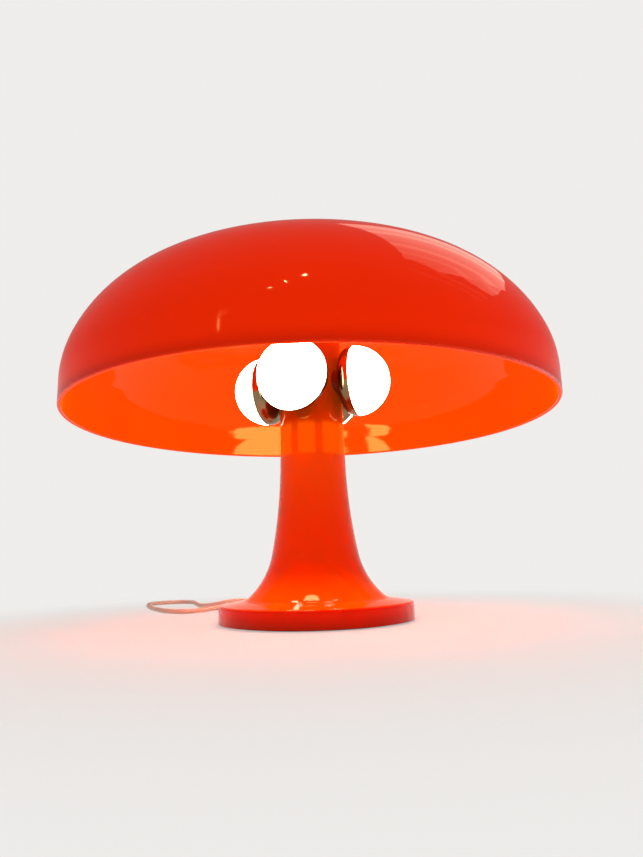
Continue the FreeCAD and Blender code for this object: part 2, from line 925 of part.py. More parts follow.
def make_lampholder(number, turn):
    """Ceramic two-pin lampholder, screwed to one face of the block."""
    body = new_body(f"lampholder_{number}")
    face = s.block_width / 2
    sketch = new_sketch(body, "YZ_Plane", face)
    draw_outline(
        sketch, rounded_corners(s.holder_width / 2, s.holder_height / 2, s.holder_corner)
    )
    draw_circle(sketch, ZERO, ZERO, s.holder_screw_radius + s.fit_clearance / 3)
    for side in (-1, 1):
        draw_circle(
            sketch, ZERO, side * s.pin_spacing / 2, s.pin_radius + s.pin_clearance
        )
    pad(body, sketch, s.holder_depth)
    return place(body, z=s.lamp_height, turn=turn)


def make_holder_screws():
    """One pan-head screw through the middle of each lampholder into the block."""
    screws = []
    for turn in LAMP_TURNS:
        body = doc.addObject("PartDesign::Body", "holder_screw")
        head = s.block_width / 2 + s.holder_depth
        start = head - s.holder_screw_length
        revolve(
            body,
            [
                (start, ZERO),
                (head + s.holder_screw_radius / 2, ZERO),
                (head + s.holder_screw_radius / 2, s.holder_screw_radius * 2),
                (head, s.holder_screw_radius * 2),
                (head, s.holder_screw_radius),
                (start, s.holder_screw_radius),
            ],
            axis="H_Axis",
            plane="XY_Plane",
        )
        place(body, z=s.lamp_height, turn=turn)
        screws.append(body)
    return group("holder_screws", screws)


def make_leads(terminal_top):
    """Short leads from the terminal block up to each lampholder, and the riser below."""
    leads = []
    for turn in LAMP_TURNS:
        lead = doc.addObject("Part::Cylinder", "lead")
        bind(lead, "Radius", s.lead_radius)
        holder_bottom = s.lamp_height - s.holder_height / 2
        bind(lead, "Height", holder_bottom - terminal_top)
        distance = SIZES["block_width"] / 2 + SIZES["holder_depth"] / 4
        spot = turned_by(turn).multVec(Vector(distance, 0, 0))
        spot.z = terminal_top.number
        lead.Placement = Placement(spot, Rotation())
        leads.append(lead)
    group("lampholder_leads", leads)
    inward = turned_by(GLAND_TURN).multVec(Vector(1, 0, 0))
    height = GLAND_HEIGHT.number
    bend = SIZES["inner_bend"]
    riser = inward * SIZES["riser_distance"]
    start = inward * (SKIRT_INNER - s.gland_flange_height).number
    start.z = height
    before = inward * (SIZES["riser_distance"] + bend)
    before.z = height
    after = Vector(riser.x, riser.y, height + bend)
    top = Vector(riser.x, riser.y, (terminal_top - s.terminal_height).number)
    wire = Part.Wire(
        [
            Part.LineSegment(start, before).toShape(),
            arc_edge(before, inward * -1, after),
            Part.LineSegment(after, top).toShape(),
        ]
    )
    cord_piece("inner_lead", wire, SIZES["cord_radius"])


# ---------------------------------------------------------------- globe lamps


def make_lamp(number, turn):
    """Opal dome, mirrored bowl, board, base and pins of one plug-in globe lamp."""
    centre = s.lamp_offset
    radius = s.globe_radius
    glass = s.globe_glass
    lip = s.mirror_lip
    seam = centre + lip
    inner = radius - glass
    seam_outer = root(radius * radius - lip * lip)
    seam_inner = root(inner * inner - lip * lip)
    dome = turned_sideways(
        f"lamp_dome_{number}",
        [
            (seam, seam_inner),
            (seam, seam_outer, -radius),
            (centre + radius, ZERO),
            (centre + inner, ZERO, inner),
        ],
    )
    bend = s.mirror_shoulder
    turn_angle = s.mirror_turn
    shoulder_x = centre - bend * sine(turn_angle)
    shoulder_y = radius - bend * (1 - cosine(turn_angle))
    slant = cosine(turn_angle) / sine(turn_angle)
    neck_x = shoulder_x - (shoulder_y - s.neck_radius) * slant
    inner_x = centre - (bend - glass) * sine(turn_angle)
    inner_y = inner - (bend - glass) * (1 - cosine(turn_angle))
    neck_inner = inner_y - (inner_x - neck_x) / slant
    bowl = turned_sideways(
        f"lamp_mirror_{number}",
        [
            (seam, seam_outer, radius),
            (centre, radius, bend),
            (shoulder_x, shoulder_y),
            (neck_x, s.neck_radius),
            (neck_x, neck_inner),
            (inner_x, inner_y, -(bend - glass)),
            (centre, inner, -inner),
            (seam, seam_inner),
        ],
    )
    back_x = neck_x - s.lamp_base_length
    board_x = neck_x + s.board_height * 1.5
    base = turned_sideways(
        f"lamp_base_{number}",
        [
            (back_x, ZERO),
            (board_x, ZERO),
            (board_x, neck_inner - s.fit_clearance),
            (neck_x, neck_inner - s.fit_clearance),
            (neck_x, s.neck_radius),
            (back_x, s.neck_radius),
        ],
    )
    board = turned_sideways(
        f"lamp_board_{number}",
        box_corners(board_x, ZERO, board_x + s.board_height, s.board_radius),
    )
    pins = new_body(f"lamp_pins_{number}")
    sketch = new_sketch(pins, "YZ_Plane", back_x - s.pin_length)
    for side in (-1, 1):
        draw_circle(sketch, ZERO, side * s.pin_spacing / 2, s.pin_radius)
    pad(pins, sketch, s.pin_length)
    for body in (dome, bowl, base, board, pins):
        place(body, z=s.lamp_height, turn=turn)


# ---------------------------------------------------------------- in-line switch


def make_switch():
    """Two shells, a rocker on trunnions and two screws, lying on the cord."""
    half_x = s.switch_length / 2
    half_y = s.switch_width / 2
    height = s.switch_half_height
    wall = s.switch_wall
    lower = new_body("switch_lower_shell")
    upper = new_body("switch_upper_shell")
    for body, bottom, reverse in ((lower, height, True), (upper, height, False)):
        sketch = new_sketch(body, "XY_Plane", bottom)
        draw_outline(sketch, rounded_corners(half_x, half_y, s.switch_corner))
        shell = pad(body, sketch, height, reverse)
        doc.recompute()
        outer_z = 0.0 if reverse else 2 * height.number
        rim = [
            f"Edge{i}"
            for i, edge in enumerate(shell.Shape.Edges, start=1)
            if all(abs(v.Point.z - outer_z) < TINY for v in edge.Vertexes)
        ]
        fillet = body.newObject("PartDesign::Fillet", f"{body.Name}_fillet")
        fillet.Base = (shell, rim)
        bind(fillet, "Radius", s.switch_edge)
        cavity = new_sketch(body, "XY_Plane", bottom)
        draw_outline(
            cavity, rounded_corners(half_x - wall, half_y - wall, s.switch_corner - wall)
        )
        pocket = body.newObject("PartDesign::Pocket", f"{body.Name}_cavity")
        pocket.Profile = cavity
        bind(pocket, "Length", height - wall)
        pocket.Reversed = not reverse
    roof = 2 * height
    pivot = roof - wall - s.trunnion_radius * 2
    crest = roof - pivot + wall / 3
    lean = crest * sine(s.rocker_tilt)
    opening_x = s.rocker_length / 2 * cosine(s.rocker_tilt) + lean + s.rocker_gap
    opening_y = s.rocker_width / 2 + s.rocker_gap
    cheeks = new_sketch(upper, "XY_Plane", roof - wall)
    cheek = s.trunnion_length + wall / 2
    for side in (-1, 1):
        near = side * opening_y
        far = side * (opening_y + cheek)
        low, high = (near, far) if side > 0 else (far, near)
        draw_outline(
            cheeks,
            box_corners(-s.trunnion_radius * 2, low, s.trunnion_radius * 2, high),
        )
    pad(upper, cheeks, s.trunnion_radius * 4, reverse=True)
    window = new_sketch(upper, "XY_Plane", roof - wall * 3)
    draw_outline(window, box_corners(-opening_x, -opening_y, opening_x, opening_y))
    pocket = upper.newObject("PartDesign::Pocket", "switch_window")
    pocket.Profile = window
    bind(pocket, "Length", wall * 4)
    pocket.Reversed = True
    reach = opening_y + s.trunnion_length + s.rocker_gap
    drill(
        upper,
        s.trunnion_radius + s.pin_clearance,
        2 * reach,
        Vector(0, -reach.number, pivot.number),
        Vector(0, 1, 0),
    )
    for body in (lower, upper):
        place(body, s.switch_x, s.switch_y)
    rocker = make_rocker(crest.number)
    place(rocker, s.switch_x, s.switch_y, pivot)
    make_switch_boots(half_x)
    make_switch_screws(half_x)


def make_rocker(crest):
    """Rocker with two shallow faces and a trunnion each side, tilted to its on side."""
    body = new_body("switch_rocker")
    rotation = math.radians(SIZES["rocker_tilt"])
    half = SIZES["rocker_length"] / 2
    dip = crest - half * math.tan(rotation)
    belly = -SIZES["rocker_belly"]
    profile = [(-half, belly), (half, belly), (half, crest), (0, dip), (-half, crest)]
    corners = []
    for x, z in profile:
        corners.append(
            (
                x * math.cos(rotation) + z * math.sin(rotation),
                -x * math.sin(rotation) + z * math.cos(rotation),
            )
        )
    sketch = new_sketch(body, "XZ_Plane")
    draw_outline(sketch, corners)
    solid = pad(body, sketch, s.rocker_width)
    solid.Midplane = True
    axle = body.newObject("PartDesign::AdditiveCylinder", "rocker_axle")
    bind(axle, "Radius", s.trunnion_radius)
    bind(axle, "Height", s.rocker_width + 2 * s.trunnion_length)
    base = Vector(0, -(s.rocker_width / 2 + s.trunnion_length).number, 0)
    axle.Placement = Placement(base, Rotation(Vector(0, 0, 1), Vector(0, 1, 0)))
    return body


def make_switch_boots(half_x):
    """Short tapered boots at both ends of the switch."""
    boots = []
    for side in (0, 180):
        body = doc.addObject("PartDesign::Body", "switch_boot")
        revolve(
            body,
            [
                (half_x, ZERO),
                (half_x + s.switch_boot_length, ZERO),
                (half_x + s.switch_boot_length, s.cord_radius + s.fit_clearance),
                (half_x, s.switch_boot_radius),
            ],
            axis="H_Axis",
            plane="XY_Plane",
        )
        place(body, s.switch_x, s.switch_y, s.switch_half_height, turn=side)
        boots.append(body)
    return group("switch_boots", boots)


def make_switch_screws(half_x):
    """Two screw heads under the switch, which draw its shells together."""
    screws = []
    for side in (-1, 1):
        screw = doc.addObject("Part::Cylinder", "switch_screw")
        bind(screw, "Radius", s.trunnion_radius)
        bind(screw, "Height", 2 * s.switch_half_height - 2 * s.switch_wall)
        across = side * (half_x - s.switch_corner)
        place(screw, s.switch_x + across, s.switch_y, s.switch_wall)
        screws.append(screw)
    return group("switch_screws", screws)


# ---------------------------------------------------------------- plug


def make_plug():
    """Flat plug, lofted from its broad face to a round neck, with two round pins."""
    body = new_body("plug_body")
    middle = s.plug_height / 2
    stations = (
        (ZERO, s.plug_face_width, s.plug_face_height, s.plug_face_corner),
        (s.plug_brow, s.plug_width, s.plug_height, s.plug_corner),
        (s.plug_waist, s.plug_waist_width, s.plug_waist_height, s.plug_corner),
        (s.plug_length, s.plug_neck_width, s.plug_neck_height, s.plug_neck_corner),
    )
    sketches = []
    for distance, width, height, corner in stations:
        sketch = new_sketch(body, "XZ_Plane", -distance if distance is not ZERO else ZERO)
        draw_outline(sketch, rounded_corners(width / 2, height / 2, corner))
        sketches.append(sketch)
    loft = body.newObject("PartDesign::AdditiveLoft", "plug_loft")
    loft.Profile = sketches[0]
    loft.Sections = sketches[1:]
    turn = turned_by(SIZES["plug_turn"])
    front = Vector(SIZES["plug_x"], SIZES["plug_y"], middle.number)
    place(body, s.plug_x, s.plug_y, middle, SIZES["plug_turn"])
    pins = []
    for side in (-1, 1):
        pin = doc.addObject("PartDesign::Body", "plug_pin")
        tip = s.plug_pin_radius / 2
        revolve(
            pin,
            [
                (ZERO, ZERO),
                (s.plug_pin_radius, ZERO),
                (s.plug_pin_radius, s.plug_pin_length - tip, tip),
                (s.plug_pin_radius - tip, s.plug_pin_length),
                (ZERO, s.plug_pin_length),
            ],
        )
        across = turn.multVec(Vector(side * SIZES["plug_pin_spacing"] / 2, 0, 0))
        along = turn.multVec(Vector(0, -1, 0))
        pin.Placement = Placement(front + across, Rotation(Vector(0, 0, 1), along))
        pins.append(pin)
    group("plug_pins", pins)
    return front + turn.multVec(Vector(0, SIZES["plug_length"], 0))


# ---------------------------------------------------------------- free cord


def coil_point(turns):
    """Point and unit tangent on the coil's middle line, after so many turns of winding."""
    inner = SIZES["coil_inner_radius"]
    pitch = SIZES["coil_pitch"]
    low = SIZES["cord_radius"] + SIZES["coil_lift"]
    climb_end = COIL_TURNS + CLIMB_TURNS
    if turns <= COIL_TURNS:
        radius, rate = inner + pitch * (COIL_TURNS - turns), -pitch
        height, rise = low, 0.0
    elif turns < climb_end:
        radius, rate = inner, 0.0
        height, rise = low + pitch * (turns - COIL_TURNS) / CLIMB_TURNS, pitch / CLIMB_TURNS
    else:
        radius, rate = inner + pitch * (turns - climb_end), pitch
        height, rise = low + pitch, 0.0
    angle = 2 * math.pi * turns
    out = Vector(math.cos(angle), math.sin(angle), 0)
    along = Vector(-math.sin(angle), math.cos(angle), 0)
    point = Vector(SIZES["coil_x"], SIZES["coil_y"], 0) + out * radius
    point.z = height
    tangent = along * (2 * math.pi * radius) + out * rate + Vector(0, 0, rise)
    return point, tangent.normalize()


def coil_wire():
    """Middle line of the coil: in on one layer, a climbing half turn, out on the next."""
    climb_end = COIL_TURNS + CLIMB_TURNS
    total = climb_end + OUTWARD_TURNS
    level = (0.0, COIL_TURNS, climb_end, total)
    quarter = 0.25
    edges = []
    spots = []
    for step in range(int(total / quarter) + 1):
        turns = step * quarter
        point, tangent = coil_point(turns)
        if turns in level:
            angle = 2 * math.pi * turns
            tangent = Vector(-math.sin(angle), math.cos(angle), 0)
        spots.append((point, tangent))
    lead_in = spots[0][1] * (2 * SIZES["cord_radius"])
    edges.append(Part.LineSegment(spots[0][0] - lead_in, spots[0][0]).toShape())
    for (start, leave), (stop, arrive) in zip(spots, spots[1:]):
        edges.extend(biarc(start, leave, stop, arrive))
    lead_out = spots[-1][1] * (2 * SIZES["cord_radius"])
    edges.append(Part.LineSegment(spots[-1][0], spots[-1][0] + lead_out).toShape())
    return Part.Wire(edges), spots[0][0] - lead_in, spots[-1][0] + lead_out


def least_self_gap(wire, radius):
    """Least gap of a wound tube to itself, measured between points a turn apart."""
    count = int(wire.Length)
    points = wire.discretize(Number=count)
    near = 4 * radius
    step = wire.Length / (count - 1)
    skip = int(near * 3 / step)
    least = min(
        (points[i] - points[j]).Length
        for i in range(0, count, 2)
        for j in range(i + skip, count, 2)
    )
    return least - 2 * radius


def make_free_cord(plug_end):
    """Free stretches to the switch, the coil and the plug, the coil, and its tie."""
    radius = SIZES["cord_radius"]
    boot_end = (s.base_radius + s.gland_flange_height + s.boot_length).number
    out = turned_by(GLAND_TURN).multVec(Vector(boot_end, 0, 0))
    reach = (s.switch_length / 2 + s.switch_boot_length).number
    switch_left = SIZES["switch_x"] - reach
    switch_right = SIZES["switch_x"] + reach
    row_y = SIZES["switch_y"]
    row_z = SIZES["switch_half_height"]
    coil, coil_start, coil_end = coil_wire()
    routes = {
        "cord_to_switch": [
            (out.x, out.y, GLAND_HEIGHT.number),
            (-50.65, 87.73, GLAND_HEIGHT.number),
            (-70.0, 94.5, 4.6),
            (-96.0, 82.0, radius),
            (-118.0, 98.0, radius),
            (-134.0, 127.0, radius),
            (-143.0, 148.0, radius),
            (-151.0, 170.0, radius),
            (-155.0, 192.0, radius),
            (-146.2, 206.6, radius),
            (-129.7, 210.7, radius),
            (-115.2, 201.9, radius),
            (-108.0, 173.0, radius),
            (-100.0, 148.0, radius),
            (-86.0, 122.0, 3.6),
            (-69.0, row_y, row_z),
            (switch_left, row_y, row_z),
        ],
        "cord_to_coil": [
            (switch_right, row_y, row_z),
            (39.0, row_y, row_z),
            (51.5, 117.6, 5.2),
            (53.0, 137.0, coil_start.z),
            tuple(coil_start),
        ],
        "cord_to_plug": [
            tuple(coil_end),
            (9.7, coil_end.y, coil_end.z),
            (2.95, 192.73, plug_end.z),
            tuple(plug_end),
        ],
    }
    total = coil.Length
    for label, points in routes.items():
        wire, radii = bent_route(points)
        print(label, "radii", " ".join(f"{r:.1f}" for r in radii))
        cord_piece(label, wire, radius)
        total += wire.Length
    cord_piece("cord_coil", coil, radius)
    print(f"coil's least gap to itself {least_self_gap(coil, radius):.2f} mm")
    total += 2 * reach
    print(f"whole free cord, with the stretch inside the switch, {total:.0f} mm")


def make_tie():
    """Flat strap loop round the coil's turns, at one side of the coil."""
    turns_span = s.coil_pitch * COIL_TURNS
    clear = s.cord_radius + s.tie_clearance
    inner_low = s.coil_inner_radius - clear - s.coil_pitch / 4
    inner_high = s.coil_inner_radius + turns_span + clear
    bottom = s.coil_lift - s.tie_clearance
    top = s.coil_lift + 2 * s.cord_radius + s.coil_pitch + s.tie_clearance
    strap = s.tie_thickness
    body = new_body("cord_tie")
    sketch = new_sketch(body, "XZ_Plane", -(s.tie_width / 2))
    draw_outline(
        sketch, box_corners(inner_low - strap, bottom - strap, inner_high + strap, top + strap)
    )
    draw_outline(sketch, box_corners(inner_low, bottom, inner_high, top))
    pad(body, sketch, s.tie_width)
    return place(body, s.coil_x, s.coil_y, turn=225)


# ---------------------------------------------------------------- assembly


def check_and_export():
    """Stop on any failed feature, then write one file for each sub-part."""
    doc.recompute()
    failed = [
        f"{thing.Name}: {thing.State}"
        for thing in doc.Objects
        if "Invalid" in thing.State or "Error" in thing.State
    ]
    for part in PARTS:
        if part.Shape.isNull() or not part.Shape.isValid():
            failed.append(f"{part.Label}: no valid shape")
    if failed:
        raise RuntimeError("\n".join(failed))
    os.makedirs("parts", exist_ok=True)
    for part in PARTS:
        part.Shape.exportStep(os.path.join("parts", f"{part.Label}.step"))
    print(f"{len(PARTS)} sub-parts, crown at {CROWN_HEIGHT.number:.2f} mm")


make_shade()
make_moulding()
make_cap()
make_clamping()
make_base_pieces()
make_cord_anchor()
TERMINAL_TOP = make_holder_block()
for NUMBER, TURN in enumerate(LAMP_TURNS, start=1):
    make_lampholder(NUMBER, TURN)
    make_lamp(NUMBER, TURN)
make_holder_screws()
make_leads(TERMINAL_TOP)
make_switch()
PLUG_END = make_plug()
make_free_cord(PLUG_END)
make_tie()
check_and_export()
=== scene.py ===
"""Mushroom table lamp: finishes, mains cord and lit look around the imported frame.

Metres, +Z up, front towards -Y, origin on the table under the middle of the base.
"""
import json
import math

import bpy
import numpy as np
from mathutils import Matrix, Quaternion, Vector


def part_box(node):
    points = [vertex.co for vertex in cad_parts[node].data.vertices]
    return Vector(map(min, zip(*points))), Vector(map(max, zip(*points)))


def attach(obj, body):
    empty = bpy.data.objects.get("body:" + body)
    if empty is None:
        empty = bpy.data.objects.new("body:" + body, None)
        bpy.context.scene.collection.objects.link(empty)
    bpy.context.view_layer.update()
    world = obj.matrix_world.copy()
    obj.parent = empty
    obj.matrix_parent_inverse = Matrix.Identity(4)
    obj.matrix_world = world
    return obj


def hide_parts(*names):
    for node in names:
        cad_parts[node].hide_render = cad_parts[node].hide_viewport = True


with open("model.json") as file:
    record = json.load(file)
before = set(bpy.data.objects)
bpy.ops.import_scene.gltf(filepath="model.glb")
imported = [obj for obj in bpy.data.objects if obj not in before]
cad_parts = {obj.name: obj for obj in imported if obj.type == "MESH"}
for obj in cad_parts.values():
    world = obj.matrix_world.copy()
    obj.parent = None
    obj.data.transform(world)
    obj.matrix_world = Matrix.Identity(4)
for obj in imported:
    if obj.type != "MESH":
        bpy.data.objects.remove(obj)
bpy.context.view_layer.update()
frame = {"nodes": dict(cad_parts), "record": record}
NODES = frame["nodes"]
LAMPS = 4
TURN = 2 * math.pi

# ------------------------------------------------------------------ shader expressions


class Value:
    """One output socket of a finish: arithmetic on it adds Math nodes."""

    def __init__(self, finish, socket):
        self.finish = finish
        self.socket = socket

    def _math(self, operation, *values):
        settings = {"operation": operation}
        return self.finish.node("ShaderNodeMath", settings, dict(enumerate(values)))

    def __add__(self, other):
        return self._math("ADD", self, other)

    def __radd__(self, other):
        return self._math("ADD", other, self)

    def __sub__(self, other):
        return self._math("SUBTRACT", self, other)

    def __rsub__(self, other):
        return self._math("SUBTRACT", other, self)

    def __mul__(self, other):
        return self._math("MULTIPLY", self, other)

    def __rmul__(self, other):
        return self._math("MULTIPLY", other, self)

    def __pow__(self, other):
        return self._math("POWER", self, other)

    def __abs__(self):
        return self._math("ABSOLUTE", self)

    def sine(self):
        """Sine of an angle in radians."""
        return self._math("SINE", self)

    def root(self):
        """Square root."""
        return self._math("SQRT", self)

    def greater(self, other):
        """The greater of two values."""
        return self._math("MAXIMUM", self, other)

    def ramp(self, low, high, smooth=True):
        """0 at low, 1 at high, with a soft or a straight line between."""
        settings = {"interpolation_type": "SMOOTHSTEP" if smooth else "LINEAR", "clamp": True}
        return self.finish.node("ShaderNodeMapRange", settings, {"Value": self, 1: low, 2: high})


class Tree:
    """The nodes of a material or of the surround."""

    def __init__(self, owner):
        owner.use_nodes = True
        self.nodes = owner.node_tree.nodes
        self.links = owner.node_tree.links

    def feed(self, socket, value):
        """Sets a socket to a number or colour, or links it to another node."""
        if isinstance(value, Value):
            self.links.new(value.socket, socket)
        else:
            socket.default_value = value

    def node(self, kind, settings=None, inputs=None, output=0):
        """Any node: its settings are set first, then the values or links of its sockets."""
        node = self.nodes.new(kind)
        for name, value in (settings or {}).items():
            setattr(node, name, value)
        for name, value in (inputs or {}).items():
            self.feed(node.inputs[name], value)
        return Value(self, node.outputs[output])

    def rays(self, *kinds):
        """1 for a ray of any of the named kinds."""
        found = [self.node("ShaderNodeLightPath", output=f"Is {kind} Ray") for kind in kinds]
        total = found[0]
        for other in found[1:]:
            total = total.greater(other)
        return total


class Finish(Tree):
    """A material: a glossy shader, coordinates, patterns and colour mixes."""

    def __init__(self, name, **constants):
        self.material = bpy.data.materials.new(name)
        super().__init__(self.material)
        self.shader = self.nodes["Principled BSDF"]
        for socket, value in constants.items():
            self.shader.inputs[socket.replace("_", " ")].default_value = value
        self.place = self.node("ShaderNodeTexCoord", output="Object")

    def axis(self, letter):
        """One Object coordinate in metres."""
        return self.node("ShaderNodeSeparateXYZ", None, {0: self.place}, letter)

    def noise(self, scale, detail=2.0, stretch=(1, 1, 1), rough=0.5):
        """Noise from 0 to 1 with so many cells to the metre, drawn out by stretch."""
        settings = {"operation": "MULTIPLY"}
        spot = self.node("ShaderNodeVectorMath", settings, {0: self.place, 1: stretch})
        inputs = {"Vector": spot, "Scale": scale, "Detail": detail, "Roughness": rough}
        return self.node("ShaderNodeTexNoise", None, inputs)

    def attribute(self, name):
        """A number kept on the piece's points."""
        return self.node("ShaderNodeAttribute", {"attribute_name": name}, output="Fac")

    def mix(self, share, first, second):
        """Colour between first and second."""
        settings = {"data_type": "RGBA", "clamp_factor": True}
        return self.node("ShaderNodeMix", settings, {0: share, 6: first, 7: second}, 2)

    def colour(self, value):
        """Base colour of the surface."""
        self.feed(self.shader.inputs["Base Color"], value)

    def rough(self, value):
        """Roughness of the gloss, from 0 for a mirror to 1 for matt."""
        self.feed(self.shader.inputs["Roughness"], value)

    def glow(self, value):
        """Colour of the light that the surface gives off."""
        self.feed(self.shader.inputs["Emission Color"], value)

    def bump(self, height, depth):
        """Raises the surface by height times depth, in metres."""
        inputs = {"Height": height, "Distance": depth, "Strength": 1.0}
        self.feed(self.shader.inputs["Normal"], self.node("ShaderNodeBump", None, inputs))


def rgb(red, green, blue):
    """Linear colour with full alpha."""
    return (red, green, blue, 1.0)


# ------------------------------------------------------------------ orange mouldings

SHADE_LOW, SHADE_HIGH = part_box("shade")
SHADE_RIM = SHADE_LOW[2]
SHADE_RADIUS = SHADE_HIGH[0]
SHADE_WALL = 0.0026
SHADE_BAND = 0.0153
SHOULDER_RADIUS, SHOULDER_TURN = 0.0625, math.radians(22.5)
HAUNCH_RADIUS, HAUNCH_TURN = 0.0894, math.radians(64.5)

# Half widths of the steps where two arcs meet and at the middle of the wall.
JOINT_BLEND = 0.00001
WALL_BLEND = 0.0001

# Heights above and below the rim's cut face within which it is wholly and partly matt.
RIM_CUT, RIM_EDGE = 0.0002, 0.0004

# Heights between which the shade's light changes.
RIM_DUSK = (SHADE_RIM + 0.0005, SHADE_RIM + 0.009)
UPPER_DUSK = (SHADE_RIM + 0.03, SHADE_RIM + 0.10)
INNER_FADE = (SHADE_RIM, SHADE_RIM + 0.06)

# Heights between which the stem's colour and painted shade, or its light, change.
SKIRT_TOP = 0.0105
SKIRT_PAINTED_SHADE = (0.0, SKIRT_TOP)
SKIRT_LIGHT = (0.001, SKIRT_TOP)
SKIRT_EDGE = (SKIRT_TOP, SKIRT_TOP + 0.0015)
FLARE_DUSK = (0.014, 0.034)
COLUMN_PAINTED_SHADE = (0.045, 0.10)
COLUMN_LIGHT = (0.05, 0.11)
BAND_FOOT = (0.104, 0.107)
BAND_TOP = (0.1235, 0.1285)

# Azimuth and half width of each upright shadow in the stem's lit band, and its darkest share.
BAND_SHADOWS = ((math.radians(-31.8), 0.0034), (math.radians(11.5), 0.0036))
SHADOW_CORE = 0.4

# Roughness of the bare gloss, and what clouds, scuffs and the rim's cut face add to it.
GLOSS_ROUGH, CLOUD_ROUGH, SCUFF_ROUGH, RIM_ROUGH = 0.035, 0.02, 0.05, 0.45
SCUFF_STRETCH = (1, 1, 0.25)
SCUFF_HEIGHT = 0.06
RIPPLE_DEPTH = 0.000007


def dome_arcs():
    """Outer arcs of the dome from the rim up: lowest height, centre and radius of each.

    A centre is its distance from the dome's axis and its height. Each arc ends where it has
    turned by its angle from level: at its centre's height plus its radius times the sine. The
    next centre lies back along the line through that end, by the difference of the radii, and
    the last centre lies on the dome's axis.
    """
    radius, centre = SHOULDER_RADIUS, (SHADE_RADIUS - SHOULDER_RADIUS, SHADE_RIM + SHADE_BAND)
    arcs = [(centre[1], centre, radius)]
    for turn, following in ((SHOULDER_TURN, HAUNCH_RADIUS), (HAUNCH_TURN, None)):
        low = centre[1] + radius * math.sin(turn)
        following = following or radius + centre[0] / math.cos(turn)
        back = radius - following
        centre = (centre[0] + back * math.cos(turn), centre[1] + back * math.sin(turn))
        radius = following
        arcs.append((low, centre, radius))
    return arcs


def wall_side(finish):
    """1 on the inner face of the dome's wall, 0 on the outer face.

    A point is inside where its distance from its arc's centre, the root of the sum of the
    squares, is less than the arc's radius less half the wall. Under the arcs the distance is
    from the axis.
    """
    across, along, height = (finish.axis(letter) for letter in "XYZ")
    level = (across * across + along * along).root()
    outward = level - (SHADE_RADIUS - SHADE_WALL / 2)
    for low, centre, radius in dome_arcs():
        distance = ((level - centre[0]) ** 2 + (height - centre[1]) ** 2).root()
        beyond = distance - (radius - SHADE_WALL / 2)
        above = height.ramp(low - JOINT_BLEND, low + JOINT_BLEND, smooth=False)
        outward = outward + (beyond - outward) * above
    return 1 - outward.ramp(-WALL_BLEND, WALL_BLEND, smooth=False)


def at_rim(finish):
    """1 on the cut face of the dome's rim, which is matt: risen past it, but not yet above it."""
    height = finish.axis("Z")
    from_below = height.ramp(SHADE_RIM - RIM_EDGE, SHADE_RIM - RIM_CUT)
    return from_below * (1 - height.ramp(SHADE_RIM + RIM_CUT, SHADE_RIM + RIM_EDGE))


def orange_plastic(name, tone_and_painted_shade, lit, matt=None):
    """Glossy translucent moulding: colour with painted shade, the light through it, where it is
    matt.
    """
    finish = Finish(
        name,
        IOR=1.49,
        Specular_IOR_Level=0.3,
        Specular_Tint=rgb(1.0, 0.62, 0.16),
        Emission_Strength=1.0,
    )
    cloud = finish.noise(scale=14.0, detail=3.0)
    finish.colour(tone_and_painted_shade(finish, cloud.ramp(0.35, 0.7)))
    scuff = finish.noise(260.0, 4.0, SCUFF_STRETCH, rough=0.6).ramp(0.58, 0.85)
    gloss = GLOSS_ROUGH + cloud * CLOUD_ROUGH + scuff * SCUFF_ROUGH
    finish.rough(gloss + matt(finish) * RIM_ROUGH if matt else gloss)
    finish.glow(lit(finish, cloud))
    ripple = finish.noise(scale=30.0, detail=1.0)
    finish.bump(ripple + scuff * SCUFF_HEIGHT, RIPPLE_DEPTH)
    return finish.material


def shade_tone(finish, cloud):
    """The dome's own colour, with a faint cloud."""
    return finish.mix(cloud, rgb(0.74, 0.018, 0.0006), rgb(0.70, 0.015, 0.0006))


def shade_glow(finish, cloud):
    """Light through the dome: strongest inside, darkest outside just above the rim."""
    height = finish.axis("Z")
    low_band = finish.mix(height.ramp(*RIM_DUSK), rgb(0.22, 0.003, 0.0), rgb(0.42, 0.009, 0.0))
    outside = finish.mix(height.ramp(*UPPER_DUSK), low_band, rgb(0.32, 0.008, 0.0))
    inside = finish.mix(height.ramp(*INNER_FADE), rgb(0.60, 0.046, 0.0), rgb(0.50, 0.040, 0.0))
    clouded = finish.mix(cloud * 0.4, inside, rgb(0.66, 0.052, 0.0))
    return finish.mix(wall_side(finish).greater(at_rim(finish)), outside, clouded)


def stem_tone_and_painted_shade(finish, cloud):
    """The stem's colour, with painted shade low in the skirt, up the column and above the lamps.
    """
    height = finish.axis("Z")
    body = finish.mix(cloud, rgb(0.61, 0.011, 0.0005), rgb(0.57, 0.009, 0.0005))
    body = finish.mix(height.ramp(*COLUMN_PAINTED_SHADE), body, rgb(0.50, 0.012, 0.0005))
    skirt_low, skirt_high = rgb(0.40, 0.001, 0.0002), rgb(0.56, 0.003, 0.0003)
    skirt = finish.mix(height.ramp(*SKIRT_PAINTED_SHADE), skirt_low, skirt_high)
    low = finish.mix(height.ramp(*SKIRT_EDGE), skirt, body)
    return finish.mix(height.ramp(*BAND_TOP), low, rgb(0.40, 0.016, 0.0005))


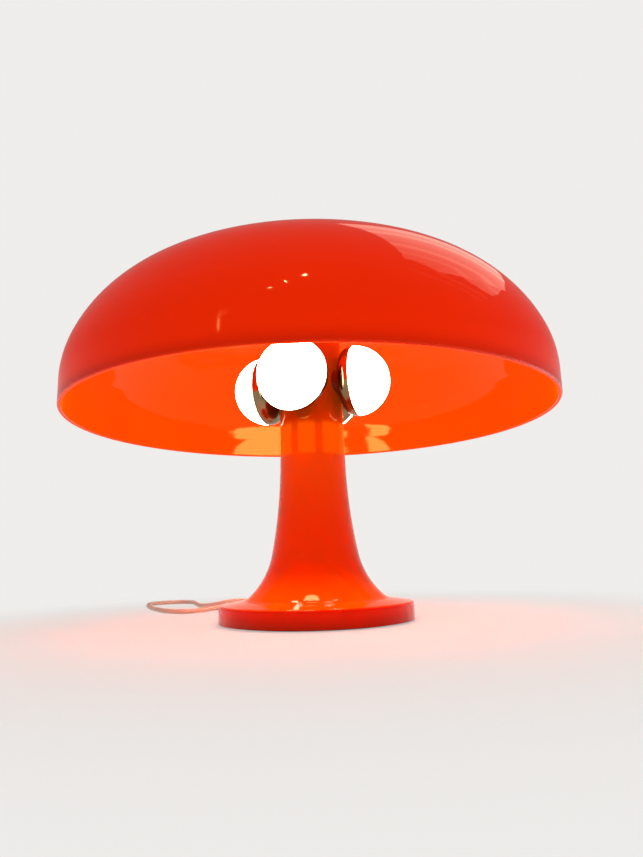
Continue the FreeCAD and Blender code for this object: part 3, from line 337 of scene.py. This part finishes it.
def stem_glow(finish, cloud):
    """Light down the stem: a dark skirt, a lit flare, and a lit band under the lamps.

    The band has upright shadows: a point lies in one where its level distance from the upright
    plane through the axis is small. That distance is x times the cosine of the shadow's azimuth
    plus y times its sine.
    """
    height = finish.axis("Z")
    lit = 1.0
    for azimuth, half_width in BAND_SHADOWS:
        level = finish.axis("X") * math.cos(azimuth) + finish.axis("Y") * math.sin(azimuth)
        lit = lit * abs(level).ramp(SHADOW_CORE * half_width, half_width)
    skirt = finish.mix(height.ramp(*SKIRT_LIGHT), rgb(0.02, 0.0, 0.0), rgb(0.17, 0.0003, 0.0))
    foot = finish.mix(height.ramp(*FLARE_DUSK), rgb(0.26, 0.060, 0.0), rgb(0.02, 0.014, 0.0))
    column = finish.mix(height.ramp(*COLUMN_LIGHT), foot, rgb(0.02, 0.030, 0.0))
    light = finish.mix(lit, rgb(0.02, 0.034, 0.0), rgb(0.13, 0.070, 0.0))
    band = finish.mix(height.ramp(*BAND_FOOT), column, light)
    above = finish.mix(height.ramp(*BAND_TOP), band, rgb(0.07, 0.018, 0.0))
    return finish.mix(height.ramp(*SKIRT_EDGE), skirt, above)


# ------------------------------------------------------------------ other finishes

THREAD = 0.0006
WEAVE_DEPTH = 0.00012


def opal(name):
    """Lit opal dome: white, with a faint cloud in its colour and its light."""
    finish = Finish(name, Roughness=0.25, Emission_Strength=24.0)
    cloud = finish.noise(scale=60.0)
    finish.colour(finish.mix(cloud, rgb(0.90, 0.87, 0.80), rgb(0.93, 0.91, 0.85)))
    finish.glow(finish.mix(cloud, rgb(1.0, 0.84, 0.62), rgb(1.0, 0.87, 0.66)))
    return finish.material


def metal(name, colour, shadow, rough, scale, depth=0.00002):
    """Metal with a cloudy darker film, and a fine grain in its roughness and its surface."""
    finish = Finish(name, Metallic=1.0)
    grain = finish.noise(scale, detail=4.0, rough=0.6)
    cloud = finish.noise(scale=45.0)
    finish.colour(finish.mix(cloud.ramp(0.3, 0.75), shadow, colour))
    finish.rough(rough + grain * 0.12 + cloud * 0.05)
    finish.bump(grain, depth)
    return finish.material


def moulded(name, colour, tint, rough, scale=900.0, depth=0.00003):
    """Plain plastic, rubber or ceramic: fine texture and a faint change of colour."""
    finish = Finish(name)
    cloud = finish.noise(scale=35.0, detail=3.0)
    grain = finish.noise(scale, detail=3.0)
    finish.colour(finish.mix(cloud.ramp(0.3, 0.7), colour, tint))
    finish.rough(rough + grain * 0.10)
    finish.bump(grain, depth)
    return finish.material


def woven(name, colour, shadow):
    """Plain weave: sine of the length times sine of the width, half a wave to each thread."""
    finish = Finish(name, Sheen_Weight=0.3)
    wave = math.pi / THREAD
    along, across = finish.attribute("along"), finish.attribute("across")
    threads = (along * wave).sine() * (across * wave).sine()
    over = abs(threads).ramp(0.0, 0.9)
    fuzz = finish.noise(scale=2500.0, detail=3.0)
    finish.colour(finish.mix(over * 0.8 + fuzz * 0.2, shadow, colour))
    finish.rough(0.85 - over * 0.15)
    finish.bump(over + fuzz * 0.2, WEAVE_DEPTH)
    return finish.material


ORANGE = orange_plastic("orange_shade", shade_tone, shade_glow, at_rim)
STEM = orange_plastic("orange_stem", stem_tone_and_painted_shade, stem_glow)
OPAL = opal("opal_glass")
# The coat's colours are darkened to a deep bronze: a painted reflection of dim surroundings.
MIRROR = metal(
    "mirror_coat",
    rgb(0.31, 0.22, 0.12),
    rgb(0.22, 0.15, 0.07),
    rough=0.03,
    scale=300.0,
    depth=0.000002,
)
CERAMIC = moulded("ceramic", rgb(0.86, 0.84, 0.78), rgb(0.80, 0.77, 0.70), rough=0.25)
BOARD = metal("board", rgb(0.75, 0.76, 0.78), rgb(0.62, 0.63, 0.66), rough=0.3, scale=200.0)
ZINC = metal("zinc_steel", rgb(0.66, 0.66, 0.64), rgb(0.46, 0.46, 0.45), rough=0.30, scale=500.0)
BRASS = metal("pin_brass", rgb(0.80, 0.62, 0.32), rgb(0.62, 0.45, 0.20), rough=0.18, scale=700.0)
IRON = moulded(
    "ballast_iron",
    rgb(0.05, 0.05, 0.055),
    rgb(0.08, 0.075, 0.07),
    rough=0.55,
    scale=700.0,
    depth=0.00015,
)
RUBBER = moulded(
    "foot_rubber", rgb(0.022, 0.022, 0.022), rgb(0.035, 0.033, 0.032), rough=0.7, depth=0.00006
)
CORD = moulded("cord_pvc", rgb(0.83, 0.66, 0.55), rgb(0.78, 0.60, 0.49), rough=0.36, scale=500.0)
SLEEVE = moulded(
    "lead_sleeve",
    rgb(0.85, 0.84, 0.80),
    rgb(0.75, 0.74, 0.70),
    rough=0.7,
    scale=1500.0,
    depth=0.0001,
)
CREAM = moulded("cream_plastic", rgb(0.82, 0.70, 0.60), rgb(0.78, 0.65, 0.55), rough=0.32)
STRAP = woven("tie_strap", rgb(0.78, 0.74, 0.68), rgb(0.60, 0.56, 0.50))
ROCKER = moulded("rocker_plastic", rgb(0.66, 0.52, 0.42), rgb(0.62, 0.48, 0.38), rough=0.18)
COLLAR = moulded("lamp_collar", rgb(0.26, 0.035, 0.012), rgb(0.21, 0.030, 0.010), rough=0.4)

FINISHES = {
    "orange_shade": ORANGE,
    "orange_stem": STEM,
    "cap_plastic": STEM,
    "opal_glass": OPAL,
    "mirror_coat": MIRROR,
    "ceramic": CERAMIC,
    "board": BOARD,
    "zinc_steel": ZINC,
    "pin_brass": BRASS,
    "ballast_iron": IRON,
    "foot_rubber": RUBBER,
    "cord_pvc": CORD,
    "lead_sleeve": SLEEVE,
    "cream_plastic": CREAM,
    "tie_strap": STRAP,
}
OWN_FINISHES = {f"lamp_base_{number}": COLLAR for number in range(1, LAMPS + 1)}
OWN_FINISHES["switch_rocker"] = ROCKER

SLOTS = {row["node"]: row["material_slot"] for row in frame["record"]["subparts"]}
for node, thing in NODES.items():
    thing.data.materials.clear()
    thing.data.materials.append(OWN_FINISHES.get(node) or FINISHES[SLOTS[node]])


# ------------------------------------------------------------------ surfaces

OUTLINE_POINTS = 48
BEAD_POINTS = 16


def grid_piece(name, points, finish, attributes=None, ring=False):
    """Mesh over a grid of points (rows, columns, 3), closed round its columns.

    With ring its last row also meets its first, and its faces are turned to point outwards.
    They point inwards where the volume is negative: a sixth of the sum, over both triangles of
    each face, of the first corner times the cross product of the other two.
    """
    rows, columns = points.shape[:2]
    index = np.arange(rows * columns).reshape(rows, columns)
    first = index if ring else index[:-1]
    above = np.roll(index, -1, axis=0) if ring else index[1:]
    corners = [first, np.roll(first, -1, axis=1), np.roll(above, -1, axis=1), above]
    faces = np.stack(corners, axis=-1).reshape(-1, 4)
    flat = points.reshape(-1, 3)
    corner = flat[faces] - flat.mean(axis=0)
    halves = ((0, 1, 2), (0, 2, 3))
    volume = sum(
        (corner[:, i] * np.cross(corner[:, j], corner[:, k])).sum() for i, j, k in halves
    )
    if ring and volume < 0:
        faces = faces[:, ::-1]
    mesh = bpy.data.meshes.new(name)
    mesh.from_pydata(flat.tolist(), [], faces.tolist())
    for label, values in (attributes or {}).items():
        layer = mesh.attributes.new(label, "FLOAT", "POINT")
        layer.data.foreach_set("value", np.asarray(values, np.float32).ravel())
    mesh.shade_smooth()
    mesh.materials.append(finish)
    piece = bpy.data.objects.new(name, mesh)
    bpy.context.scene.collection.objects.link(piece)
    return piece


def joined(name, pieces):
    """One object with the meshes of several."""
    with bpy.context.temp_override(
        active_object=pieces[0], selected_editable_objects=pieces, object=pieces[0]
    ):
        bpy.ops.object.join()
    pieces[0].name = name
    pieces[0].data.name = name
    return pieces[0]


def rounded_outline(half_width, half_height, corner):
    """Rounded rectangle and its outward directions, each an array (points, 2).

    A circle of the corner's radius, the cosine and the sine of an angle, is moved out into the
    four corners: each point by the half width and half height less the radius, towards the side
    that the signs of its cosine and sine give.
    """
    angle = (np.arange(OUTLINE_POINTS) + 0.5) / OUTLINE_POINTS * TURN
    outward = np.stack([np.cos(angle), np.sin(angle)], axis=-1)
    inset = np.array([half_width - corner, half_height - corner])
    return np.sign(outward) * inset + corner * outward, outward


def resampled(outline, count):
    """Evenly spaced points on a closed outline of straight runs."""
    closed = np.vstack([outline, outline[:1]])
    length = np.append(0, np.cumsum(np.linalg.norm(np.diff(closed, axis=0), axis=1)))
    even = np.linspace(0, length[-1], count, endpoint=False)
    return np.stack([np.interp(even, length, closed[:, axis]) for axis in (0, 1)], axis=-1)


def bead(name, outline, outward, place, half_length, rise, finish):
    """A bead round an outline in the plane across an axis.

    Its section is an ellipse: half_length along the axis times the cosine of an angle, and rise
    along the outline's outward direction times the sine. place carries (distance along the axis,
    across, up) into the lamp's frame.
    """
    angle = np.linspace(0, TURN, BEAD_POINTS, endpoint=False)[:, None]
    along = half_length * np.cos(angle) + 0 * outline[None, :, 0]
    raised = outline[None] + (rise * np.sin(angle))[:, :, None] * outward[None]
    return grid_piece(name, place(along, raised[..., 0], raised[..., 1]), finish, ring=True)


def axis_frame(origin, turn):
    """Carries (along, across, up) to the lamp's frame, for a level axis turned from +X.

    x is the origin's plus along times the cosine less across times the sine, y is the origin's
    plus along times the sine plus across times the cosine, and up is added to the origin's z.
    """
    cosine, sine = math.cos(turn), math.sin(turn)

    def place(along, across, up):
        x = origin[0] + along * cosine - across * sine
        y = origin[1] + along * sine + across * cosine
        return np.stack([x, y, origin[2] + up], axis=-1)

    return place


def ahead_of(middle, distance, turn, height):
    """Point at a distance along a level axis turned from +X, as (x, y, height)."""
    return (
        middle[0] + distance * math.cos(turn),
        middle[1] + distance * math.sin(turn),
        height,
    )


# ------------------------------------------------------------------ camera

IMAGE_WIDTH, IMAGE_HEIGHT = 643, 857
FOCAL_PIXELS = 637.6
SENSOR_WIDTH = 36.0
CLIP_NEAR, CLIP_FAR = 0.01, 50.0
CAMERA_PLACE = Vector((0.0, -0.4225, 0.03944))
CAMERA_YAW = math.radians(0.872)
CAMERA_PITCH = math.radians(11.455)
CAMERA_ROLL = -0.0289


def make_camera():
    """Camera low in front of the lamp, looking up a little, as the photograph was taken."""
    yaw, pitch = CAMERA_YAW, CAMERA_PITCH
    forward = Vector(
        (math.sin(yaw) * math.cos(pitch), math.cos(yaw) * math.cos(pitch), math.sin(pitch))
    )
    right = Vector((math.cos(yaw), -math.sin(yaw), 0.0))
    up = right.cross(forward)
    tilted = right * math.cos(CAMERA_ROLL) + up * math.sin(CAMERA_ROLL)
    upright = up * math.cos(CAMERA_ROLL) - right * math.sin(CAMERA_ROLL)
    data = bpy.data.cameras.new("camera")
    data.sensor_width = SENSOR_WIDTH
    data.lens = FOCAL_PIXELS / max(IMAGE_WIDTH, IMAGE_HEIGHT) * data.sensor_width
    data.clip_start, data.clip_end = CLIP_NEAR, CLIP_FAR
    camera = bpy.data.objects.new("camera", data)
    camera.matrix_world = Matrix.Translation(CAMERA_PLACE) @ Matrix(
        [[tilted[i], upright[i], -forward[i]] for i in range(3)]
    ).to_4x4()
    bpy.context.scene.collection.objects.link(camera)
    bpy.context.scene.camera = camera


make_camera()

# ------------------------------------------------------------------ fittings of the cord

CORD_RADIUS = 0.0018
GLAND_HEIGHT = 0.0070
GLAND_TURN = math.radians(120)
BOOT_START, BOOT_LENGTH = 0.0633, 0.020
BOOT_ROOT, BOOT_TIP = 0.0029, 0.0021
BOOT_RIBS = 6
BOOT_RIB_OFFSET = 0.6
BOOT_RIB_HALF, BOOT_RIB_RISE = 0.0009, 0.0004
PLUG_HEIGHT = 0.0068
PLUG_FRONT = (-0.0326, 0.20225)
PLUG_TURN = math.radians(-15)
PLUG_RIBS = 4
PLUG_RIBS_START, PLUG_RIBS_END = 0.0185, 0.0285
PLUG_RIB_HALF, PLUG_RIB_RISE = 0.0008, 0.0005

# Distance from the plug's front, half width, half height and corner radius of a section.
PLUG_WAIST = (0.0165, 0.01015, 0.0064, 0.0048)
PLUG_NECK = (0.0300, 0.00425, 0.0034, 0.0027)

COIL_MIDDLE = (0.020, 0.160)
COIL_INNER = 0.010
COIL_PITCH = 0.0046
COIL_LOW = 0.0028
COIL_TURNS = 5
CLIMB_TURNS = 0.5
OUTWARD_TURNS = 4.75
POINTS_PER_TURN = 16
STRAP_TURN = math.radians(225)
STRAP_INNER, STRAP_OUTER = 0.00675, 0.0351
STRAP_LOW, STRAP_HIGH = 0.0007, 0.0095
STRAP_HALF_WIDTH, STRAP_HALF_THICK = 0.0035, 0.00035
STRAP_CORNER = 0.0022

# Depth of the strap's dips, their shift along it, and the length over which they set in.
STRAP_DIP, STRAP_SHIFT, STRAP_EASE = 0.0003, 0.00115, 0.002
STRAP_LOOP_POINTS, STRAP_EDGE_POINTS = 360, 24

# Share of the strap's length at which its slider sits.
SLIDER_SHARE = 0.72
SLIDER_MARGIN, SLIDER_HALF_HEIGHT, SLIDER_CORNER = 0.0006, 0.00075, 0.0006
SLIDER_HALF_LENGTH, SLIDER_RISE = 0.0022, 0.0005


def finished(piece, slot, *nodes):
    """Rides on the base, in place of any nodes named. The slot is not used."""
    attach(piece, "base")
    if nodes:
        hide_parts(*nodes)
    return piece


def make_gland_ribs():
    """Ribs round the tapered boot: circles whose radius falls evenly from root to tip."""
    ribs = []
    for number in range(BOOT_RIBS):
        share = (number + BOOT_RIB_OFFSET) / BOOT_RIBS
        radius = BOOT_ROOT + (BOOT_TIP - BOOT_ROOT) * share
        distance = BOOT_START + BOOT_LENGTH * share
        origin = ahead_of((0.0, 0.0), distance, GLAND_TURN, GLAND_HEIGHT)
        outline, outward = rounded_outline(radius, radius, radius)
        place = axis_frame(origin, GLAND_TURN)
        name = f"gland_rib_{number}"
        ribs.append(bead(name, outline, outward, place, BOOT_RIB_HALF, BOOT_RIB_RISE, CREAM))
    return finished(joined("gland_ribs", ribs), "cream_plastic")


def make_plug_ribs():
    """Ribs round the plug's tapered neck: rounded rectangles evenly between waist and neck."""
    ribs = []
    for number in range(PLUG_RIBS):
        along = PLUG_RIBS_START + (PLUG_RIBS_END - PLUG_RIBS_START) * number / (PLUG_RIBS - 1)
        share = (along - PLUG_WAIST[0]) / (PLUG_NECK[0] - PLUG_WAIST[0])
        half_width, half_height, corner = (
            first + (last - first) * share for first, last in zip(PLUG_WAIST[1:], PLUG_NECK[1:])
        )
        origin = ahead_of(PLUG_FRONT, along, PLUG_TURN, PLUG_HEIGHT)
        outline, outward = rounded_outline(half_width, half_height, corner)
        place = axis_frame(origin, PLUG_TURN)
        name = f"plug_rib_{number}"
        ribs.append(bead(name, outline, outward, place, PLUG_RIB_HALF, PLUG_RIB_RISE, CREAM))
    return finished(joined("plug_ribs", ribs), "cream_plastic")


def make_strap():
    """Woven loop round the coil's turns: a rounded rectangle that dips between the turns.

    On its flat top the loop sinks by half the dip, times one plus the cosine of the distance
    along it counted in the coil's pitch. Its section is the width times the root of the cosine
    of an angle, with the cosine's sign, and the thickness times the sine.
    """
    middle = (STRAP_INNER + STRAP_OUTER) / 2
    half_length = (STRAP_OUTER - STRAP_INNER) / 2 + STRAP_HALF_THICK
    half_height = (STRAP_HIGH - STRAP_LOW) / 2 + STRAP_HALF_THICK
    outline = rounded_outline(half_length, half_height, STRAP_CORNER)[0]
    loop = resampled(outline, STRAP_LOOP_POINTS)
    ahead = np.roll(loop, -1, axis=0) - np.roll(loop, 1, axis=0)
    ahead /= np.linalg.norm(ahead, axis=1)[:, None]
    outward = np.stack([ahead[:, 1], -ahead[:, 0]], axis=-1)
    from_corner = half_length - STRAP_CORNER - abs(loop[:, 0])
    flat_top = np.clip(from_corner, 0, STRAP_EASE) / STRAP_EASE * (loop[:, 1] > 0)
    dips = flat_top * STRAP_DIP / 2
    loop[:, 1] -= dips * (1 + np.cos((loop[:, 0] - STRAP_SHIFT) * TURN / COIL_PITCH))
    edge = np.linspace(0, TURN, STRAP_EDGE_POINTS, endpoint=False)
    wide = np.sign(np.cos(edge)) * STRAP_HALF_WIDTH * abs(np.cos(edge)) ** 0.5
    thick = STRAP_HALF_THICK * np.sin(edge)
    section = loop[:, None, :] + thick[None, :, None] * outward[:, None, :]
    place = axis_frame((*COIL_MIDDLE, (STRAP_LOW + STRAP_HIGH) / 2), STRAP_TURN)
    points = place(middle + section[..., 0], wide[None] + 0 * section[..., 0], section[..., 1])
    step = np.linalg.norm(loop - np.roll(loop, 1, axis=0), axis=1)
    lengths = {
        "along": np.repeat(np.cumsum(step)[:, None], len(edge), axis=1),
        "across": np.repeat(wide[None], len(loop), axis=0),
    }
    strap = grid_piece("cord_strap", points, STRAP, lengths, ring=True)
    return finished(strap, "tie_strap", "cord_tie")


def make_slider():
    """Moulded slider that closes the strap: a bead round the strap's section, on its top."""
    distance = STRAP_INNER + SLIDER_SHARE * (STRAP_OUTER - STRAP_INNER)
    origin = ahead_of(COIL_MIDDLE, distance, STRAP_TURN, STRAP_HIGH + STRAP_HALF_THICK)
    outline, outward = rounded_outline(
        STRAP_HALF_WIDTH + SLIDER_MARGIN, SLIDER_HALF_HEIGHT, SLIDER_CORNER
    )
    place = axis_frame(origin, STRAP_TURN)
    slider = bead(
        "strap_slider", outline, outward, place, SLIDER_HALF_LENGTH, SLIDER_RISE, CREAM
    )
    return finished(slider, "cream_plastic")


# ------------------------------------------------------------------ mains cord

SWITCH_HEIGHT = 0.0076
SWITCH_MIDDLE = (-0.015, 0.105)
SWITCH_REACH = 0.037
BOOT_END = (-0.04165, 0.07214)
PLUG_END = (-0.00362, 0.19449)
SPLINE_ORDER = 3
SPLINE_STEPS = 10
BEVEL_STEPS = 4


def coil_points():
    """Coil's centre line: inwards on one layer, up in half a turn, and outwards on the next.

    The distance from the middle is the inner radius plus the pitch times the turns left before
    the climb or made after it. The height rises by one pitch, evenly over the climb. The place
    round the middle is that distance times the cosine and the sine of the angle.
    """
    climb_end = COIL_TURNS + CLIMB_TURNS
    count = int((climb_end + OUTWARD_TURNS) * POINTS_PER_TURN) + 1
    turns = np.arange(count) / POINTS_PER_TURN
    away = np.clip(COIL_TURNS - turns, 0, None) + np.clip(turns - climb_end, 0, None)
    climbed = np.clip((turns - COIL_TURNS) / CLIMB_TURNS, 0, 1)
    radius = COIL_INNER + COIL_PITCH * away
    x = COIL_MIDDLE[0] + radius * np.cos(TURN * turns)
    y = COIL_MIDDLE[1] + radius * np.sin(TURN * turns)
    return np.stack([x, y, COIL_LOW + COIL_PITCH * climbed], axis=-1).tolist()


def cord_route():
    """The cord's points: out of the gland, round by the left, through switch and coil to plug."""
    row = SWITCH_MIDDLE[1]
    coil = coil_points()
    low, high = coil[0], coil[-1]
    return [
        (*BOOT_END, GLAND_HEIGHT),
        (-0.05065, 0.08773, GLAND_HEIGHT),
        (-0.0700, 0.0945, 0.0046),
        (-0.0960, 0.0820, CORD_RADIUS),
        (-0.1180, 0.0980, CORD_RADIUS),
        (-0.1340, 0.1270, CORD_RADIUS),
        (-0.1430, 0.1480, CORD_RADIUS),
        (-0.1510, 0.1700, CORD_RADIUS),
        (-0.1550, 0.1920, CORD_RADIUS),
        (-0.1462, 0.2066, CORD_RADIUS),
        (-0.1297, 0.2107, CORD_RADIUS),
        (-0.1152, 0.2019, CORD_RADIUS),
        (-0.1080, 0.1730, CORD_RADIUS),
        (-0.1000, 0.1480, CORD_RADIUS),
        (-0.0860, 0.1220, 0.0036),
        (-0.0690, row, SWITCH_HEIGHT),
        (SWITCH_MIDDLE[0] - SWITCH_REACH, row, SWITCH_HEIGHT),
        (SWITCH_MIDDLE[0] + SWITCH_REACH, row, SWITCH_HEIGHT),
        (0.0390, row, SWITCH_HEIGHT),
        (0.0515, 0.1176, 0.0052),
        (0.0530, 0.1370, low[2]),
        *coil,
        (0.0097, high[1], high[2]),
        (0.00295, 0.19273, PLUG_HEIGHT),
        (*PLUG_END, PLUG_HEIGHT),
    ]


def make_cord():
    """One flexible cord from the gland, through the switch and the coil, to the plug."""
    route = cord_route()
    curve = bpy.data.curves.new("mains_cord", "CURVE")
    curve.dimensions = "3D"
    curve.bevel_depth = CORD_RADIUS
    curve.bevel_resolution = BEVEL_STEPS
    curve.resolution_u = SPLINE_STEPS
    curve.use_fill_caps = True
    spline = curve.splines.new("NURBS")
    spline.points.add(len(route) - 1)
    for point, spot in zip(spline.points, route):
        point.co = (*spot, 1.0)
    spline.order_u = SPLINE_ORDER
    spline.use_endpoint_u = True
    curve.materials.append(CORD)
    cord = bpy.data.objects.new("mains_cord", curve)
    bpy.context.scene.collection.objects.link(cord)
    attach(cord, "base")
    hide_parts("cord_to_switch", "cord_to_coil", "cord_coil", "cord_to_plug")
    details = (make_strap(), make_slider(), make_plug_ribs())


make_gland_ribs()
make_cord()

# ------------------------------------------------------------------ studio

LIT_SPOT = Vector((0.0, 0.0, 0.15))
PALE = rgb(0.86, 0.85, 0.83)
WARM_WHITE = (1.0, 0.98, 0.95)
PINK = (1.0, 0.80, 0.66)
FILL_STRENGTH = 0.36
CEILING_RISE = (0.0, 0.40)
HORIZON_STRENGTH = 0.75
CEILING_STRENGTH = 0.22
FLOOR_RADII = (0.0001, 0.3, 0.8, 2.0, 6.0)
FLOOR_POINTS = 96
FLOOR_HEIGHT = -0.0001
FLOOR_FADE = (0.07, 0.38)
FLOOR_GLOW = 0.50
LIGHT_DISTANCE = 1.6
PANEL_AZIMUTH, PANEL_ELEVATION = 126.4, 53.4
PANEL_ROLL = math.radians(-7.5)
PANEL_WIDTH, PANEL_HEIGHT, PANEL_POWER, PANEL_SHIFT = 1.26, 0.90, 3.6, -0.04

# Distance by which the stripes stand nearer to the lamp than the panel.
STRIPE_LIFT = 0.02

# Sideways shift, width and power of each stripe before the panel.
STRIPES = (
    (-1.06, 0.05, 0.04),
    (-0.86, 0.04, 0.04),
    (-0.45, 0.06, 0.07),
    (-0.22, 0.10, 0.16),
    (0.20, 0.10, 0.16),
    (0.42, 0.06, 0.06),
)

# Azimuth, elevation, width, height and power of each small bright light.
PINS = (
    (-17, 40, 0.022, 0.022, 0.14),
    (-10.5, 45.8, 0.026, 0.026, 0.35),
    (-1.8, 51.8, 0.034, 0.034, 1.0),
    (-35.3, 18.5, 0.010, 0.026, 0.03),
    (-35.0, 21.6, 0.016, 0.016, 0.30),
    (-33.2, 23.3, 0.014, 0.014, 0.10),
)


def softbox(name, place, width, height, power, colour=WARM_WHITE, gloss=False, shift=0.0):
    """Area light that faces the shade, unseen by the camera: even light, or a shape in the gloss.

    It turns by PANEL_ROLL about its own axis and moves sideways by shift.
    """
    data = bpy.data.lights.new(name, "AREA")
    data.shape = "RECTANGLE"
    data.size, data.size_y = width, height
    data.energy = power
    data.color = colour
    lamp = bpy.data.objects.new(name, data)
    lamp.rotation_mode = "QUATERNION"
    facing = (LIT_SPOT - place).to_track_quat("-Z", "Y")
    facing = facing @ Quaternion((0.0, 0.0, 1.0), PANEL_ROLL)
    lamp.rotation_quaternion = facing
    lamp.location = place + facing @ Vector((shift, 0.0, 0.0))
    lamp.visible_camera = False
    lamp.visible_glossy = gloss
    lamp.visible_diffuse = not gloss
    bpy.context.scene.collection.objects.link(lamp)


def around_lamp(azimuth, elevation, distance):
    """Place at a direction from the shade: azimuth from the front, growing to the right."""
    azimuth, elevation = math.radians(azimuth), math.radians(elevation)
    level = distance * math.cos(elevation)
    away = Vector((math.sin(azimuth), -math.cos(azimuth), math.tan(elevation))) * level
    return LIT_SPOT + away


def make_world():
    """Pale surround: even to the camera, darker overhead in gloss, and dimmer as light."""
    world = bpy.data.worlds.new("studio")
    bpy.context.scene.world = world
    tree = Tree(world)
    direction = tree.node("ShaderNodeTexCoord", output="Generated")
    rise = tree.node("ShaderNodeSeparateXYZ", None, {0: direction}, "Z")
    fall = HORIZON_STRENGTH - CEILING_STRENGTH
    in_gloss = HORIZON_STRENGTH - rise.ramp(*CEILING_RISE) * fall
    strengths = (FILL_STRENGTH, in_gloss, 1.0)
    fill, mirrored, seen = (
        tree.node("ShaderNodeBackground", None, {"Color": PALE, "Strength": strength})
        for strength in strengths
    )
    glossy = tree.rays("Glossy", "Transmission")
    lit = tree.node("ShaderNodeMixShader", None, {0: glossy, 1: fill, 2: mirrored})
    shown = tree.node("ShaderNodeMixShader", None, {0: tree.rays("Camera"), 1: lit, 2: seen})
    tree.feed(tree.nodes["World Output"].inputs["Surface"], shown)


def make_floor():
    """Pale round floor that fades into the surround's colour before it ends.

    Rings of points just under the lamp's foot: x is a ring's radius times the cosine of an
    angle, and y is the radius times its sine.
    """
    turn = np.linspace(0, TURN, FLOOR_POINTS, endpoint=False)
    ring = np.array(FLOOR_RADII)[:, None]
    height = 0 * ring * turn + FLOOR_HEIGHT
    points = np.stack([ring * np.cos(turn), ring * np.sin(turn), height], axis=-1)
    finish = Finish("floor", Roughness=0.9, Specular_IOR_Level=0.0)
    cloud = finish.noise(scale=3.0)
    finish.colour(finish.mix(cloud, rgb(0.78, 0.77, 0.75), rgb(0.80, 0.79, 0.77)))
    across, along = finish.axis("X"), finish.axis("Y")
    away = (across * across + along * along).root().ramp(*FLOOR_FADE)
    seen = (FLOOR_GLOW + away * (1 - FLOOR_GLOW)) * finish.rays("Camera", "Glossy")
    glow = finish.node("ShaderNodeEmission", None, {"Color": PALE})
    shaded = Value(finish, finish.shader.outputs[0])
    mixed = finish.node("ShaderNodeMixShader", None, {0: seen, 1: shaded, 2: glow})
    finish.feed(finish.nodes["Material Output"].inputs["Surface"], mixed)
    grid_piece("floor", points, finish.material)


def make_reflections():
    """Shapes that show only in the gloss: a wide panel, stripes before it, and small lights."""
    in_gloss = {"colour": PINK, "gloss": True}
    place = around_lamp(PANEL_AZIMUTH, PANEL_ELEVATION, LIGHT_DISTANCE)
    softbox("panel", place, PANEL_WIDTH, PANEL_HEIGHT, PANEL_POWER, shift=PANEL_SHIFT, **in_gloss)
    nearer = around_lamp(PANEL_AZIMUTH, PANEL_ELEVATION, LIGHT_DISTANCE - STRIPE_LIFT)
    for number, (shift, width, power) in enumerate(STRIPES, start=1):
        name = f"panel_stripe_{number}"
        softbox(name, nearer, width, PANEL_HEIGHT, power, shift=shift, **in_gloss)
    for number, (azimuth, elevation, width, height, power) in enumerate(PINS, start=1):
        place = around_lamp(azimuth, elevation, LIGHT_DISTANCE)
        softbox(f"pin_light_{number}", place, width, height, power, gloss=True)


bpy.context.scene.view_settings.view_transform = "Standard"
make_world()
make_floor()
softbox("key", around_lamp(38, 45, distance=1.9), width=1.0, height=1.0, power=8.0)
softbox("overhead", around_lamp(150, 70, distance=1.7), width=1.2, height=1.0, power=3.0)
make_reflections()
